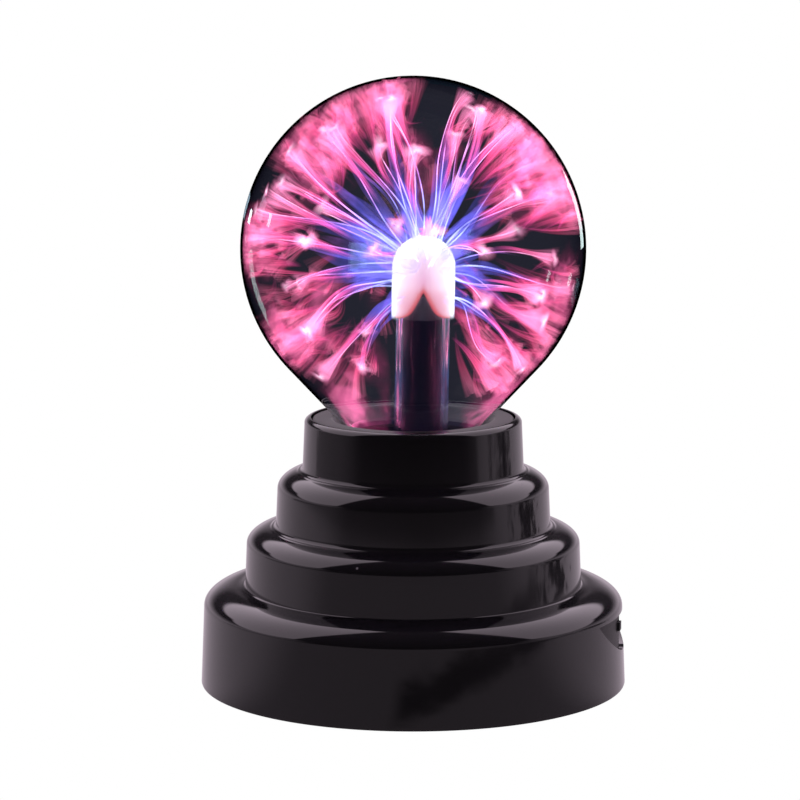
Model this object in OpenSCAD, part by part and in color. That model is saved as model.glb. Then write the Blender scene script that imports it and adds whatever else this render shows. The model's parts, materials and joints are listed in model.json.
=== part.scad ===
// Table-top plasma ball: a glass globe on a stepped moulded base.
// The part stands on its rubber feet at z = 0, with the globe's axis on Z.
// The front is -Y, and the switch and the power inlet are on the +X side.

/* [Globe] */
// Outside diameter of the glass globe
globe_d = 80; // [70:0.5:96]
// Thickness of the globe's glass
globe_wall = 1; // [0.6:0.1:1.6]
// Diameter of the globe's cone where it comes out of the base
seat_d = 36.3; // [34:0.1:38]
// Half angle of the cone between the globe and its neck
neck_angle = 43; // [38:1:48]
// Outside diameter of the globe's neck
neck_d = 30; // [26:0.5:32]
// Length of the neck below its seat
neck_l = 9; // [7:0.5:12]

/* [Stem and electrode] */
// Outside diameter of the glass stem
stem_d = 12.6; // [11:0.1:15]
// Thickness of the stem's glass
stem_wall = 0.9; // [0.6:0.1:1.2]
// How far the top of the stem stands above the globe's centre
stem_rise = 2; // [0:0.5:6]
// Sideways offset of the hand-set stem at its foot
stem_x = 1.6; // [0:0.1:3]
// Lean of the hand-set stem, in degrees
stem_lean = 1.05; // [0:0.05:2]
// Height of the flared foot that joins the stem to the neck
flare_h = 6; // [5:0.5:8]
// Length of the metal liner inside the end of the stem
liner_l = 18; // [14:0.5:22]
// Thickness of the metal liner
liner_t = 0.4; // [0.3:0.1:0.6]
// Length of the point of the black core under the liner
core_tip_l = 5; // [3:0.5:8]
// Length of the straight part of the black core
core_l = 6; // [4:0.5:10]

/* [Base outline] */
// Diameter of the bottom step at its foot
step1_d = 99.6; // [92:0.2:120]
// Height of the bottom step
step1_h = 22.8; // [22:0.2:30]
// Width of the rounded shoulder on the bottom step
step1_sw = 7.8; // [5:0.2:9]
// Height of the rounded shoulder on the bottom step
step1_sh = 4.4; // [3:0.2:6]
// Diameter of the second step at its foot
step2_d = 78.8; // [76:0.2:86]
// Height of the second step
step2_h = 13.9; // [11:0.1:20]
// Width of the rounded shoulder on the second step
step2_sw = 6.5; // [4:0.1:7.5]
// Height of the rounded shoulder on the second step
step2_sh = 3.8; // [3:0.1:5]
// Diameter of the third step at its foot
step3_d = 64.2; // [62:0.2:70]
// Height of the third step
step3_h = 13.6; // [10:0.1:20]
// Width of the rounded shoulder on the third step
step3_sw = 7.2; // [4:0.1:8]
// Height of the rounded shoulder on the third step
step3_sh = 4.4; // [3:0.1:5]
// Diameter of the collar at its foot
collar_d = 51.6; // [50:0.2:57]
// Height of the collar
collar_h = 12.4; // [11:0.1:18]
// Width of the rounded rim, which is also the wall there
rim_w = 1.5; // [1.2:0.1:2.2]
// Height of the rounded rim
rim_h = 1.2; // [0.8:0.1:2]
// Draft of every outside wall, in degrees
draft = 2.4; // [1:0.1:3]

/* [Shells] */
// Thickness of the moulded housings
wall = 2; // [1.6:0.1:2.2]
// Height of the joint line above the bottom step
seam_rise = 1.4; // [1:0.1:2]
// How far the band under the joint line is set back
seam_setback = 0.3; // [0.2:0.1:0.5]
// Height of the spigot inside the second step
spigot_h = 3; // [2:0.5:5]
// Thickness of the spigot
spigot_t = 1.5; // [1.2:0.1:1.8]
// Inside radius of the shelf that carries the board
shelf_r = 26; // [25:0.5:26.5]
// Depth of the seat ring under the rim
ring_h = 3; // [2:0.1:4]
// Thickness of the cushion under the seat ring
cushion_h = 1.6; // [1:0.1:2.5]
// Gap between fixed pieces that fit together
fit = 0.15; // [0.1:0.05:0.2]
// Gap round pieces that move
play = 0.3; // [0.3:0.05:0.4]
// Gap round a pin that turns in its hole
pin_fit = 0.08; // [0.05:0.01:0.1]

/* [Underside] */
// How far the feet stand below the housing
foot_proud = 0.8; // [0.5:0.1:2]
// Diameter of a rubber foot
foot_d = 9; // [7:0.5:10]
// Distance of the feet from the middle
foot_r = 40; // [38:0.5:41]
// Depth of the base plate inside the bottom edge
plate_inset = 0.8; // [0.5:0.1:1.5]
// Thickness of the base plate
plate_t = 2; // [1.8:0.1:2.4]
// Distance of the base screws from the middle
base_screw_r = 42; // [41:0.5:42.5]

/* [Batteries] */
// Diameter of one cell
cell_d = 10.5; // [10:0.1:10.8]
// Length of one cell with its button
cell_l = 44.5; // [42:0.5:46]
// Number of cells side by side
cell_count = 4; // [2:2:4]
// Gap between cells
cell_gap = 0.5; // [0.3:0.1:0.8]
// Length of a fitted spring
spring_l = 4.6; // [3.6:0.1:5]
// Thickness of a contact plate
contact_t = 0.4; // [0.3:0.1:0.6]
// Thickness of the walls of the battery bay
bay_wall = 1.2; // [1:0.1:1.4]
// Thickness of the battery door
door_t = 1.6; // [1.4:0.1:2]

/* [Side panel] */
// Direction of the panel's middle from +X, in degrees
panel_angle = -4; // [-8:1:4]
// Width of the panel's straight top edge
panel_w = 43; // [38:0.5:46]
// Height of the panel in the middle
panel_h = 9.2; // [8.6:0.1:10]
// Distance of the panel's top edge below the bottom step's ledge
panel_drop = 5; // [4.8:0.1:5.6]
// How far the panel is sunk into the wall
panel_recess = 0.8; // [0.5:0.1:1.2]
// Thickness of the panel
panel_t = 1.5; // [1.2:0.1:1.6]

/* [Switch and inlet] */
// Distance of the switch from the middle of the panel
switch_offset = 5; // [4:0.1:6]
// Distance of the power inlet from the middle of the panel
jack_offset = 12.5; // [11:0.1:13]
// Depth of the switch and inlet centres below the panel's top edge
socket_drop = 3.1; // [3:0.1:3.4]
// Travel of the switch
switch_travel = 3; // [2:0.1:3.2]
// Width of the switch knob along its travel
knob_w = 2.4; // [2:0.1:2.6]
// Height of the switch knob
knob_h = 2; // [1.6:0.1:2.2]
// How far the knob stands out of the panel
knob_proud = 0.7; // [0.4:0.1:1.2]
// Bore of the power inlet
jack_bore_d = 3.8; // [3.6:0.1:4]
// Diameter of the inlet's centre pin
jack_pin_d = 1.3; // [1.1:0.1:1.4]

/* [Circuit board] */
// Diameter of the board
board_d = 60.4; // [58:0.2:60.8]
// Thickness of the board
board_t = 1.6; // [1:0.1:2]
// Length of the transformer core
core_x = 17; // [15:0.5:18]
// Depth of the transformer core
core_y = 5; // [4:0.5:6]
// Height of the transformer core
core_z = 17; // [15:0.5:17.5]

/* [Hidden] */

$fn = 96;
arc_n = 10;          // straight pieces in a quarter of a shoulder
small_fn = 32;       // sides of small round things

// Heights of the base, from the feet up
rim_z = foot_proud;
step1_z = rim_z + step1_h;
seam_z = step1_z + seam_rise;
step2_z = step1_z + step2_h;
step3_z = step2_z + step3_h;
top_z = step3_z + collar_h;

// Radii of the walls where each shoulder starts
step1_tr = step1_d / 2 - (step1_h - step1_sh) * tan(draft);
step2_tr = step2_d / 2 - (step2_h - step2_sh) * tan(draft);
step3_tr = step3_d / 2 - (step3_h - step3_sh) * tan(draft);
collar_tr = collar_d / 2 - (collar_h - rim_h) * tan(draft);
mouth_r = collar_tr - rim_w;
band_r = step2_d / 2 - seam_setback;
spigot_r = step2_d / 2 - wall - fit;

// Seat of the globe in the collar
ring_sink = 0.2;
ring_z = top_z - ring_sink - ring_h;
seat_z = ring_z - cushion_h;
neck_z = seat_z - neck_l;
neck_r = neck_d / 2;
globe_r = globe_d / 2;
globe_z = top_z + globe_r * sin(neck_angle)
    + (globe_r * cos(neck_angle) - seat_d / 2) / tan(neck_angle);
hole_r = max(neck_r, cone_r(seat_z)) + 2 * fit;

// Stem, on its own leaning axis
stem_r = stem_d / 2;
stem_in = stem_r - stem_wall;
stem_l = globe_z + stem_rise - neck_z;
liner_r = stem_in - fit;
liner_top = stem_l - stem_wall - fit;
liner_z = liner_top - liner_l;
core_r = liner_r - liner_t - fit;
core_z0 = liner_z - core_l + core_tip_l / 5;
ferrule_l = 4;
ferrule_r = 1.6;
hv_wire_r = 1.1;

// Underside
plate_z = rim_z + plate_inset;
plate_top = plate_z + plate_t;
plate_r = step1_d / 2 - wall - play;
foot_angles = [45, 135, 225, 315];
base_screw_angles = [60, 120, 240, 300];
boss_r = 3;
pilot_r = 1.1;
screw_r = 1;
head_r = 2;
head_h = 1.2;
base_screw_l = 9;

// Screws that hold the upper housing, and the posts that they enter
post_place_r = 33;
post_r = 2.4;
post_angles = [30, 150, 270];
housing_screw_l = 9;

// Battery bay
bay_w = cell_count * (cell_d + cell_gap) + cell_gap;
bay_l = cell_l + spring_l + 2 * contact_t + 4 * fit;
cell_z0 = plate_z + door_t + 2 * fit;
cell_cz = cell_z0 + cell_d / 2;
bay_top = cell_z0 + cell_d + play;
hinge_z = plate_z + door_t / 2;
hinge_y = -bay_l / 2 + play + door_t / 2;
hinge_pin_r = 0.45;
hinge_pin_l = 1;
cell_r = cell_d / 2;

// Side panel, cut on a circle through the ends of its straight top edge
panel_top = step1_z - panel_drop;
panel_cr = (pow(panel_w / 2, 2) + pow(panel_h, 2)) / (2 * panel_h);
panel_cz = panel_top - panel_h + panel_cr;
panel_r = step1_tr - panel_recess + panel_drop * tan(draft) / 2;
panel_back = panel_r - panel_t;
panel_lip = 1.4;
lip_t = 1.2;
lip_r = min(panel_back, step1_tr - wall - fit);
lip_back = lip_r - lip_t;
lip_top = min(panel_lip, step1_z - step1_sh - panel_top - fit);
switch_angle = panel_angle - asin(switch_offset / panel_r);
jack_angle = panel_angle + asin(jack_offset / panel_r);
socket_z = panel_top - socket_drop;

// Switch, in a frame with x outwards and y along the travel
case_x1 = lip_back - 0.5;
case_d = 4.6;
case_x0 = case_x1 - case_d;
case_w = 8.8;
case_h = 4.4;
case_t = 0.6;
carriage_d = 1.6;
carriage_w = 4;
carriage_x = case_x1 - case_t - play - carriage_d;

// Inlet, in a frame with x outwards
jack_x1 = lip_back - 0.4;
jack_l = 10.5;
jack_x0 = jack_x1 - jack_l;
jack_w = 6.4;
jack_h = 5.8;
jack_nose_r = jack_bore_d / 2 + 0.6;
jack_nose_x = panel_r - 0.2;
jack_depth = 8.5;
jack_pin_x = jack_nose_x - jack_depth;

// Board
board_z = step1_z;
board_top = board_z + board_t;
board_r = board_d / 2;
board_screw_place_r = 28.2;
board_screw_angles = [90, 210, 330];
board_screw_l = 3.2;

// Transformer, with the axis of its bobbin along x
trafo_x = -9;
trafo_y = -3;
trafo_z = board_top + 0.8 + core_z / 2;
core_end = 3.4;
core_leg = 2.9;
core_mid = 4.6;
bobbin_t = 0.7;
bobbin_l = core_x - 2 * core_end - 2 * fit;
bobbin_in = core_mid + 2 * fit;
bobbin_out = bobbin_in + 2 * bobbin_t;
bobbin_y = 14;
bobbin_z = core_z - 2 * core_leg - 2 * fit;
divider_x = -bobbin_l / 2 + 3.4;

// Transistor and heat sink
sink_y = 21.5;
sink_x = -2;
sink_w = 20;
sink_t = 1.6;
sink_h = 16;
tab_t = 1.3;
tab_w = 10;
tab_h = 15;
tab_lift = 2.4;

// Wire
wire_r = 0.6;
wire_ref = [0.31, 0.83, 0.13];

// ---------------------------------------------------------------- helpers

// Points of a shoulder, from the wall inwards; next_r is the foot of what
// stands on it, and inset gives the line inside the wall
function shoulder(top_r, z, sw, sh, next_r, inset = 0) =
    let (
        mid_r = top_r - sw,
        reach = min(1, max(0, (next_r - inset - mid_r) / (sw - inset))),
        last = acos(reach)
    )
    [for (i = [0 : arc_n])
        let (a = last * i / arc_n)
        [mid_r + (sw - inset) * cos(a), z - sh + (sh - inset) * sin(a)]];

// Points of an arc round [0, z], with the angle measured from +Z
function arc(r, z, from, to, n) =
    [for (i = [0 : n])
        let (a = from + (to - from) * i / n)
        [r * sin(a), z + r * cos(a)]];

function reversed(p) = [for (i = [len(p) - 1 : -1 : 0]) p[i]];

// Height at which the globe's cone is as wide as its neck
function cone_foot(r, neck) =
    globe_z - r * sin(neck_angle) - (r * cos(neck_angle) - neck) / tan(neck_angle);

// Radius of the globe's cone at a height
function cone_r(z) =
    globe_r * cos(neck_angle) - tan(neck_angle) * (globe_z - globe_r * sin(neck_angle) - z);

// Smooth path through a few points
function smooth_path(p, n = 4) =
    [for (i = [0 : len(p) - 2])
        let (
            a = p[max(i - 1, 0)],
            b = p[i],
            c = p[i + 1],
            d = p[min(i + 2, len(p) - 1)],
            last = i == len(p) - 2 ? n : n - 1
        )
        for (k = [0 : last])
            let (t = k / n)
            0.5 * (2 * b + (c - a) * t + (2 * a - 5 * b + 4 * c - d) * t * t
                + (3 * b - 3 * c + d - a) * t * t * t)];

function heading(p, i) =
    let (v = p[min(i + 1, len(p) - 1)] - p[max(i - 1, 0)])
    v / norm(v);

function ring_points(p, i, r, sides) =
    let (
        t = heading(p, i),
        side = cross(t, wire_ref),
        u = side / norm(side),
        v = cross(t, u)
    )
    [for (k = [0 : sides - 1])
        let (a = 360 * k / sides)
        p[i] + r * (cos(a) * u + sin(a) * v)];

// Round wire along a list of points
module wire(p, r, sides = 8) {
    n = len(p);
    points = [for (i = [0 : n - 1]) each ring_points(p, i, r, sides)];
    walls = [for (i = [0 : n - 2]) for (k = [0 : sides - 1])
        let (a = i * sides + k, b = i * sides + (k + 1) % sides)
        each [[a, a + sides, b + sides], [a, b + sides, b]]];
    start = [for (k = [0 : sides - 1]) k];
    end = [for (k = [sides - 1 : -1 : 0]) (n - 1) * sides + k];
    polyhedron(points = points, faces = concat(walls, [start], [end]));
}

module rounded_rect(w, h, r) {
    square([w - 2 * r, h], center = true);
    square([w, h - 2 * r], center = true);
    for (x = [-1, 1]) for (y = [-1, 1])
        translate([x * (w / 2 - r), y * (h / 2 - r)]) circle(r = r, $fn = small_fn);
}

// Block standing on z = 0, with rounded upright edges
module rounded_block(size, r) {
    linear_extrude(size[2]) rounded_rect(size[0], size[1], r);
}

// Places children round the axis
module around(angles, r, z) {
    for (a = angles) rotate([0, 0, a]) translate([r, 0, z]) children();
}

// Screw with its head down and its shank up
module screw(r, l, head, height) {
    difference() {
        cylinder(r = head, h = height, $fn = small_fn);
        for (a = [0, 90])
            rotate([0, 0, a])
                translate([-head * 0.65, -0.25, -1]) cube([head * 1.3, 0.5, 1.6]);
    }
    translate([0, 0, height]) cylinder(r = r, h = l, $fn = small_fn);
}

// Puts children on the stem's axis, with z = 0 at the bottom of the neck
module on_stem() {
    translate([stem_x, 0, neck_z]) rotate([0, stem_lean, 0]) children();
}

// ---------------------------------------------------------------- globe

// Outline of the globe and its neck, as a solid of revolution
module globe_solid(r, neck, bottom) {
    rotate_extrude($fn = 128)
        polygon(concat(
            [[0, bottom], [neck, bottom], [neck, cone_foot(r, neck)]],
            arc(r, globe_z, 90 + neck_angle, 0, 36)
        ));
}

module globe_glass() {
    color("lightcyan", 0.3)
    difference() {
        globe_solid(globe_r, neck_r, neck_z);
        globe_solid(globe_r - globe_wall, neck_r - globe_wall, neck_z - 1);
    }
}

// Flared foot between the neck and the stem; drop lowers it to make the inside
module flare_solid(drop) {
    foot_r = neck_r - globe_wall;
    shelf = 1.2;
    translate([0, 0, -drop])
        rotate_extrude()
            polygon([[0, neck_z - drop], [foot_r - drop, neck_z - drop],
                [foot_r - drop, neck_z + shelf],
                [stem_in, neck_z + shelf + flare_h], [0, neck_z + shelf + flare_h]]);
}

module stem_solid(r, top, bottom) {
    rotate_extrude($fn = 64)
        polygon(concat([[0, bottom], [r, bottom]], arc(r, top - r, 90, 0, 12)));
}

module stem_tube() {
    color("lightcyan", 0.4)
    difference() {
        union() {
            flare_solid(0);
            on_stem() stem_solid(stem_r, stem_l, 4);
        }
        flare_solid(stem_wall);
        on_stem() stem_solid(stem_in, stem_l - stem_wall, -2);
    }
}

// Sealed end of the tube that the globe was filled through
module exhaust_tip() {
    tip_r = 2;
    tip_x = -(neck_r - globe_wall) * 0.68;
    color("lightcyan", 0.5)
    difference() {
        translate([tip_x, 0, neck_z]) {
            translate([0, 0, -1.5]) cylinder(r = tip_r, h = 8, $fn = small_fn);
            translate([0, 0, -4]) cylinder(r1 = 0.5, r2 = tip_r, h = 2.5, $fn = small_fn);
        }
        difference() {
            translate([0, 0, neck_z - 1]) cylinder(r = neck_r, h = 20);
            flare_solid(stem_wall + 0.05);
        }
    }
}

// Conductive metal lining of the stem's domed end
module electrode_liner() {
    color("silver")
    on_stem() difference() {
        stem_solid(liner_r, liner_top, liner_z);
        stem_solid(liner_r - liner_t, liner_top - liner_t, liner_z - 1);
    }
}

// Black conductive plug with a pointed top
module electrode_core() {
    color("#181818")
    on_stem() rotate_extrude($fn = 48)
        polygon([[0, core_z0], [core_r, core_z0], [core_r, core_z0 + core_l],
            [core_r * 0.5, core_z0 + core_l + core_tip_l * 0.45],
            [0.25, core_z0 + core_l + core_tip_l], [0, core_z0 + core_l + core_tip_l]]);
}

module hv_ferrule() {
    color("goldenrod")
    on_stem() translate([0, 0, core_z0 - ferrule_l])
        cylinder(r = ferrule_r, h = ferrule_l, $fn = small_fn);
}

// High-voltage lead from the transformer up the inside of the stem
module hv_lead() {
    lean = tan(stem_lean);
    end_l = core_z0 - ferrule_l;
    start = [trafo_x + 3, trafo_y + bobbin_y / 2 + 2.4, trafo_z + 1];
    color("whitesmoke")
    wire(smooth_path([
        start,
        start + [0.5, 0.4, 4],
        [stem_x - 2.4, 2, neck_z - 5],
        [stem_x, 0, neck_z + 1],
        [stem_x + 10 * lean, 0, neck_z + 10],
        [stem_x + end_l * lean * 0.6, 0, neck_z + end_l * 0.6],
        [stem_x + end_l * sin(stem_lean), 0, neck_z + end_l * cos(stem_lean) - 0.05]
    ]), hv_wire_r);
}

// Soft ring that the globe's cone presses on
module globe_cushion() {
    color("dimgray")
    rotate_extrude()
        polygon([[cone_r(seat_z) > neck_r ? cone_r(seat_z) + fit : neck_r + fit, seat_z],
            [mouth_r - fit, seat_z], [mouth_r - fit, ring_z],
            [max(cone_r(ring_z), neck_r) + fit, ring_z]]);
}

// Hard ring that closes the mouth of the collar round the globe
module retaining_ring() {
    edge = 0.5;
    top = ring_z + ring_h;
    color("#1c1b1e")
    rotate_extrude()
        polygon([[max(cone_r(ring_z), neck_r) + 2 * fit, ring_z],
            [mouth_r - 2 * fit, ring_z], [mouth_r - 2 * fit, top - edge],
            [mouth_r - 2 * fit - edge, top],
            [cone_r(top) + 2 * fit, top]]);
}

// ---------------------------------------------------------------- housings

module upper_outline() {
    outer = concat(
        [[step2_d / 2, seam_z]],
        shoulder(step2_tr, step2_z, step2_sw, step2_sh, step3_d / 2),
        shoulder(step3_tr, step3_z, step3_sw, step3_sh, collar_d / 2),
        [[collar_d / 2, step3_z]],
        shoulder(collar_tr, top_z, rim_w, rim_h, 0)
    );
    web_z = seat_z - wall;
    inner = concat(
        [[step2_d / 2 - wall, seam_z]],
        shoulder(step2_tr, step2_z, step2_sw, step2_sh, step3_d / 2, wall),
        [[step3_d / 2 - wall, step2_z - wall]],
        shoulder(step3_tr, step3_z, step3_sw, step3_sh, collar_d / 2, wall),
        [[collar_d / 2 - wall, step3_z - wall], [collar_d / 2 - wall, web_z],
            [hole_r, web_z], [hole_r, seat_z], [mouth_r, seat_z]]
    );
    polygon(concat(outer, reversed(inner)));
}

// Second step, third step and collar, with three screw posts inside
module upper_housing() {
    color("#1b1a1e")
    difference() {
        union() {
            rotate_extrude() upper_outline();
            around(post_angles, post_place_r, step1_z)
                cylinder(r = post_r, h = step2_z - wall / 2 - step1_z, $fn = small_fn);
        }
        around(post_angles, post_place_r, step1_z - 1)
            cylinder(r = pilot_r, h = housing_screw_l, $fn = small_fn);
    }
}

module lower_outline() {
    step1_end = shoulder(step1_tr, step1_z, step1_sw, step1_sh, band_r);
    outer = concat(
        [[step1_d / 2, rim_z]],
        step1_end,
        [[band_r, step1_end[arc_n][1]], [band_r, seam_z], [spigot_r, seam_z],
            [spigot_r - spigot_h * tan(draft), seam_z + spigot_h]]
    );
    inner = concat(
        [[step1_d / 2 - wall, rim_z]],
        shoulder(step1_tr, step1_z, step1_sw, step1_sh, 0, wall),
        [[shelf_r, step1_z - wall], [shelf_r, step1_z],
            [spigot_r - spigot_t, step1_z], [spigot_r - spigot_t, seam_z + spigot_h]]
    );
    polygon(concat(outer, reversed(inner)));
}

// Outline of the side panel as a prism along x, grown by a margin
module panel_prism(grow, top_grow) {
    top = panel_top + top_grow;
    intersection() {
        translate([0, 0, panel_cz]) rotate([0, 90, 0])
            cylinder(r = panel_cr + grow, h = step1_d, $fn = 160);
        translate([0, -step1_d / 2, panel_top - panel_h - 5])
            cube([step1_d, step1_d, top - panel_top + panel_h + 5]);
    }
}

// Bottom step, with the shelf for the board and four screw bosses
module lower_housing() {
    boss_z = plate_top;
    color("#1b1a1e")
    difference() {
        union() {
            rotate_extrude() lower_outline();
            around(base_screw_angles, base_screw_r, boss_z) {
                cylinder(r = boss_r, h = step1_z - wall / 2 - boss_z, $fn = small_fn);
                translate([0, -0.8, 0])
                    cube([step1_tr - wall / 2 - base_screw_r, 1.6,
                        step1_z - step1_sh - boss_z]);
            }
        }
        around(base_screw_angles, base_screw_r, boss_z - 1)
            cylinder(r = pilot_r, h = base_screw_l + 1, $fn = small_fn);
        around(post_angles, post_place_r, step1_z - wall - 1)
            cylinder(r = pilot_r, h = wall + 2, $fn = small_fn);
        around(board_screw_angles, board_screw_place_r, step1_z - wall - 1)
            cylinder(r = pilot_r, h = wall + 2, $fn = small_fn);
        rotate([0, 0, panel_angle]) panel_prism(0, 0);
    }
}

// Tube of revolution between two radii, over the panel's height
module panel_tube(outer, inner) {
    translate([0, 0, panel_top - panel_h - 5]) difference() {
        cylinder(r = outer, h = panel_h + 10, $fn = 160);
        translate([0, 0, -1]) cylinder(r = inner, h = panel_h + 12, $fn = 160);
    }
}

// Matt insert in the side of the bottom step, with a lip behind the wall
module side_panel() {
    slot_w = knob_w + switch_travel + 2 * play;
    slot_h = knob_h + 2 * play;
    color("#101012")
    difference() {
        union() {
            rotate([0, 0, panel_angle]) {
                intersection() {
                    panel_tube(panel_r, lip_r);
                    panel_prism(-fit, -fit);
                }
                intersection() {
                    panel_tube(lip_r, lip_back);
                    panel_prism(panel_lip, lip_top);
                }
            }
        }
        rotate([0, 0, switch_angle])
            translate([lip_back - 3, -slot_w / 2 + switch_travel / 2, socket_z - slot_h / 2])
                cube([8, slot_w, slot_h]);
        rotate([0, 0, jack_angle])
            translate([lip_back - 3, 0, socket_z]) rotate([0, 90, 0])
                cylinder(r = jack_nose_r + fit, h = 8, $fn = small_fn);
    }
}

// Bottom cover with the battery bay moulded on its inner side
module base_plate() {
    tab_slot = [3, contact_t + 2 * fit];
    color("#232226")
    difference() {
        union() {
            translate([0, 0, plate_z]) cylinder(r = plate_r, h = plate_t);
            translate([-bay_w / 2 - bay_wall, -bay_l / 2 - bay_wall, plate_z])
                cube([bay_w + 2 * bay_wall, bay_l + 2 * bay_wall,
                    bay_top + bay_wall - plate_z]);
        }
        translate([-bay_w / 2, -bay_l / 2, plate_z - 1])
            cube([bay_w, bay_l, bay_top - plate_z + 1]);
        // slots for the two contact tabs
        for (x = [-1, 1])
            translate([x * (bay_w / 2 - cell_gap - cell_r) - tab_slot[0] / 2,
                bay_l / 2 - fit - contact_t - fit, bay_top - 1])
                cube([tab_slot[0], tab_slot[1], bay_wall + 2]);
        // holes for the door's hinge pins
        translate([-bay_w / 2 - hinge_pin_l, hinge_y, hinge_z]) rotate([0, 90, 0])
            cylinder(r = hinge_pin_r + pin_fit, h = bay_w + 2 * hinge_pin_l, $fn = small_fn);
        around(base_screw_angles, base_screw_r, plate_z - 1) {
            cylinder(r = screw_r + fit, h = plate_t + 2, $fn = small_fn);
            cylinder(r = head_r + 2 * fit, h = 1 + head_h, $fn = small_fn);
        }
    }
}

// Door over the cells, with hinge pins on its front edge and a finger latch
module battery_door() {
    w = bay_w - 2 * play;
    end_y = bay_l / 2 - play;
    latch_w = 12;
    cut = 0.8;
    color("#232226")
    difference() {
        union() {
            translate([-w / 2, hinge_y, plate_z]) cube([w, end_y - hinge_y, door_t]);
            translate([-w / 2, hinge_y, hinge_z]) rotate([0, 90, 0])
                cylinder(r = door_t / 2, h = w, $fn = small_fn);
            translate([-w / 2 - play - hinge_pin_l + fit, hinge_y, hinge_z]) rotate([0, 90, 0])
                cylinder(r = hinge_pin_r, h = w + 2 * (play + hinge_pin_l - fit),
                    $fn = small_fn);
        }
        // cuts that free the latch tongue, and its finger dip
        for (x = [-1, 1])
            translate([x * latch_w / 2 - cut / 2, end_y - 9, plate_z - 1])
                cube([cut, 10, door_t + 2]);
        translate([0, end_y - 4, plate_z - 5.4]) rotate([0, 90, 0])
            translate([0, 0, -latch_w / 2 + 1.5])
                cylinder(r = 6, h = latch_w - 3, $fn = small_fn);
    }
}

module rubber_feet() {
    edge = 0.4;
    height = plate_z;
    color("#2b2b2b")
    around(foot_angles, foot_r, 0)
        rotate_extrude($fn = 48)
            polygon([[0, 0], [foot_d / 2 - edge, 0], [foot_d / 2, edge],
                [foot_d / 2, height], [0, height]]);
}

module base_screws() {
    color("silver")
    around(base_screw_angles, base_screw_r, plate_z + 0.05)
        screw(screw_r, base_screw_l - head_h, head_r, head_h - 0.05);
}

module housing_screws() {
    color("silver")
    around(post_angles, post_place_r, step1_z - wall - head_h)
        screw(screw_r, housing_screw_l - 1, head_r, head_h);
}

// ---------------------------------------------------------------- board

module circuit_board() {
    color("darkgreen")
    difference() {
        translate([0, 0, board_z]) cylinder(r = board_r, h = board_t);
        around(board_screw_angles, board_screw_place_r, board_z - 1)
            cylinder(r = screw_r + fit, h = board_t + 2, $fn = small_fn);
    }
}

module board_screws() {
    color("silver")
    around(board_screw_angles, board_screw_place_r, board_top + head_h)
        mirror([0, 0, 1]) screw(screw_r, board_screw_l, head_r, head_h);
}

// Two E-shaped ferrite halves that meet in the middle of the bobbin
module transformer_core() {
    window_x = core_x - 2 * core_end;
    window_z = (core_z - 2 * core_leg - core_mid) / 2;
    color("#3a3a3c")
    translate([trafo_x, trafo_y, trafo_z])
    difference() {
        cube([core_x, core_y, core_z], center = true);
        for (side = [-1, 1])
            translate([0, 0, side * (core_mid + window_z) / 2])
                cube([window_x, core_y + 2, window_z], center = true);
    }
}

// Plastic former with two end flanges, a divider and four feet
module transformer_bobbin() {
    flange_t = 0.8;
    foot_h = trafo_z - bobbin_z / 2 - board_top;
    color("ivory")
    translate([trafo_x, trafo_y, trafo_z]) {
        difference() {
            union() {
                cube([bobbin_l, core_y + 2 * fit + 2 * bobbin_t, bobbin_out], center = true);
                for (x = [-bobbin_l / 2 + flange_t / 2, divider_x, bobbin_l / 2 - flange_t / 2])
                    translate([x, 0, 0])
                        cube([flange_t, bobbin_y, bobbin_z], center = true);
            }
            cube([bobbin_l + 2, core_y + 2 * fit, bobbin_in], center = true);
        }
        for (x = [-1, 1]) for (y = [-1, 1])
            translate([x * (bobbin_l / 2 - 0.4) - 0.4, y * (bobbin_y / 2 - 1.2) - 1.2,
                -bobbin_z / 2 - foot_h])
                cube([0.8, 2.4, foot_h]);
    }
}

// Coil of wire on the bobbin between two places along it
module winding(x0, x1) {
    tube_y = core_y + 2 * fit + 2 * bobbin_t;
    translate([trafo_x + x0, trafo_y, trafo_z]) rotate([0, 90, 0])
    difference() {
        linear_extrude(x1 - x0) rounded_rect(bobbin_z - 0.8, bobbin_y - 1.6, 1.6);
        translate([0, 0, -1]) linear_extrude(x1 - x0 + 2)
            square([bobbin_out, tube_y], center = true);
    }
}

module primary_winding() {
    color("peru") winding(-bobbin_l / 2 + 0.8, divider_x - 0.4);
}

module hv_winding() {
    color("sienna") winding(divider_x + 0.4, bobbin_l / 2 - 0.8);
}

module heat_sink() {
    fin_d = 4;
    fin_t = 0.9;
    fins = 5;
    color("lightgray")
    difference() {
        union() {
            translate([sink_x - sink_w / 2, sink_y, board_top])
                cube([sink_w, sink_t, sink_h]);
            for (i = [0 : fins - 1])
                translate([sink_x - sink_w / 2 + i * (sink_w - fin_t) / (fins - 1),
                    sink_y, board_top])
                    cube([fin_t, sink_t + (abs(i - 2) == 2 ? 1.6 : fin_d), sink_h]);
        }
        translate([sink_x, sink_y - 1, board_top + tab_lift + 12.2]) rotate([-90, 0, 0])
            cylinder(r = 1.5 + fit, h = sink_t + 2, $fn = small_fn);
        // gap in the middle fin for the nut end of the screw
        translate([sink_x - 3, sink_y + sink_t, board_top + tab_lift + 9])
            cube([6, fin_d + 1, 8]);
    }
}

module power_transistor() {
    color("#202022")
    translate([sink_x, sink_y, board_top]) {
        difference() {
            translate([-tab_w / 2, -tab_t, tab_lift]) cube([tab_w, tab_t, tab_h]);
            translate([0, -tab_t - 1, tab_lift + 12.2]) rotate([-90, 0, 0])
                cylinder(r = 1.5 + fit, h = tab_t + 2, $fn = small_fn);
        }
        translate([-tab_w / 2, -4.4, tab_lift]) cube([tab_w, 4.4 - tab_t, 9]);
        for (x = [-2.54, 0, 2.54])
            translate([x - 0.4, -2.8, 0]) cube([0.8, 0.5, tab_lift]);
    }
}

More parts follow.
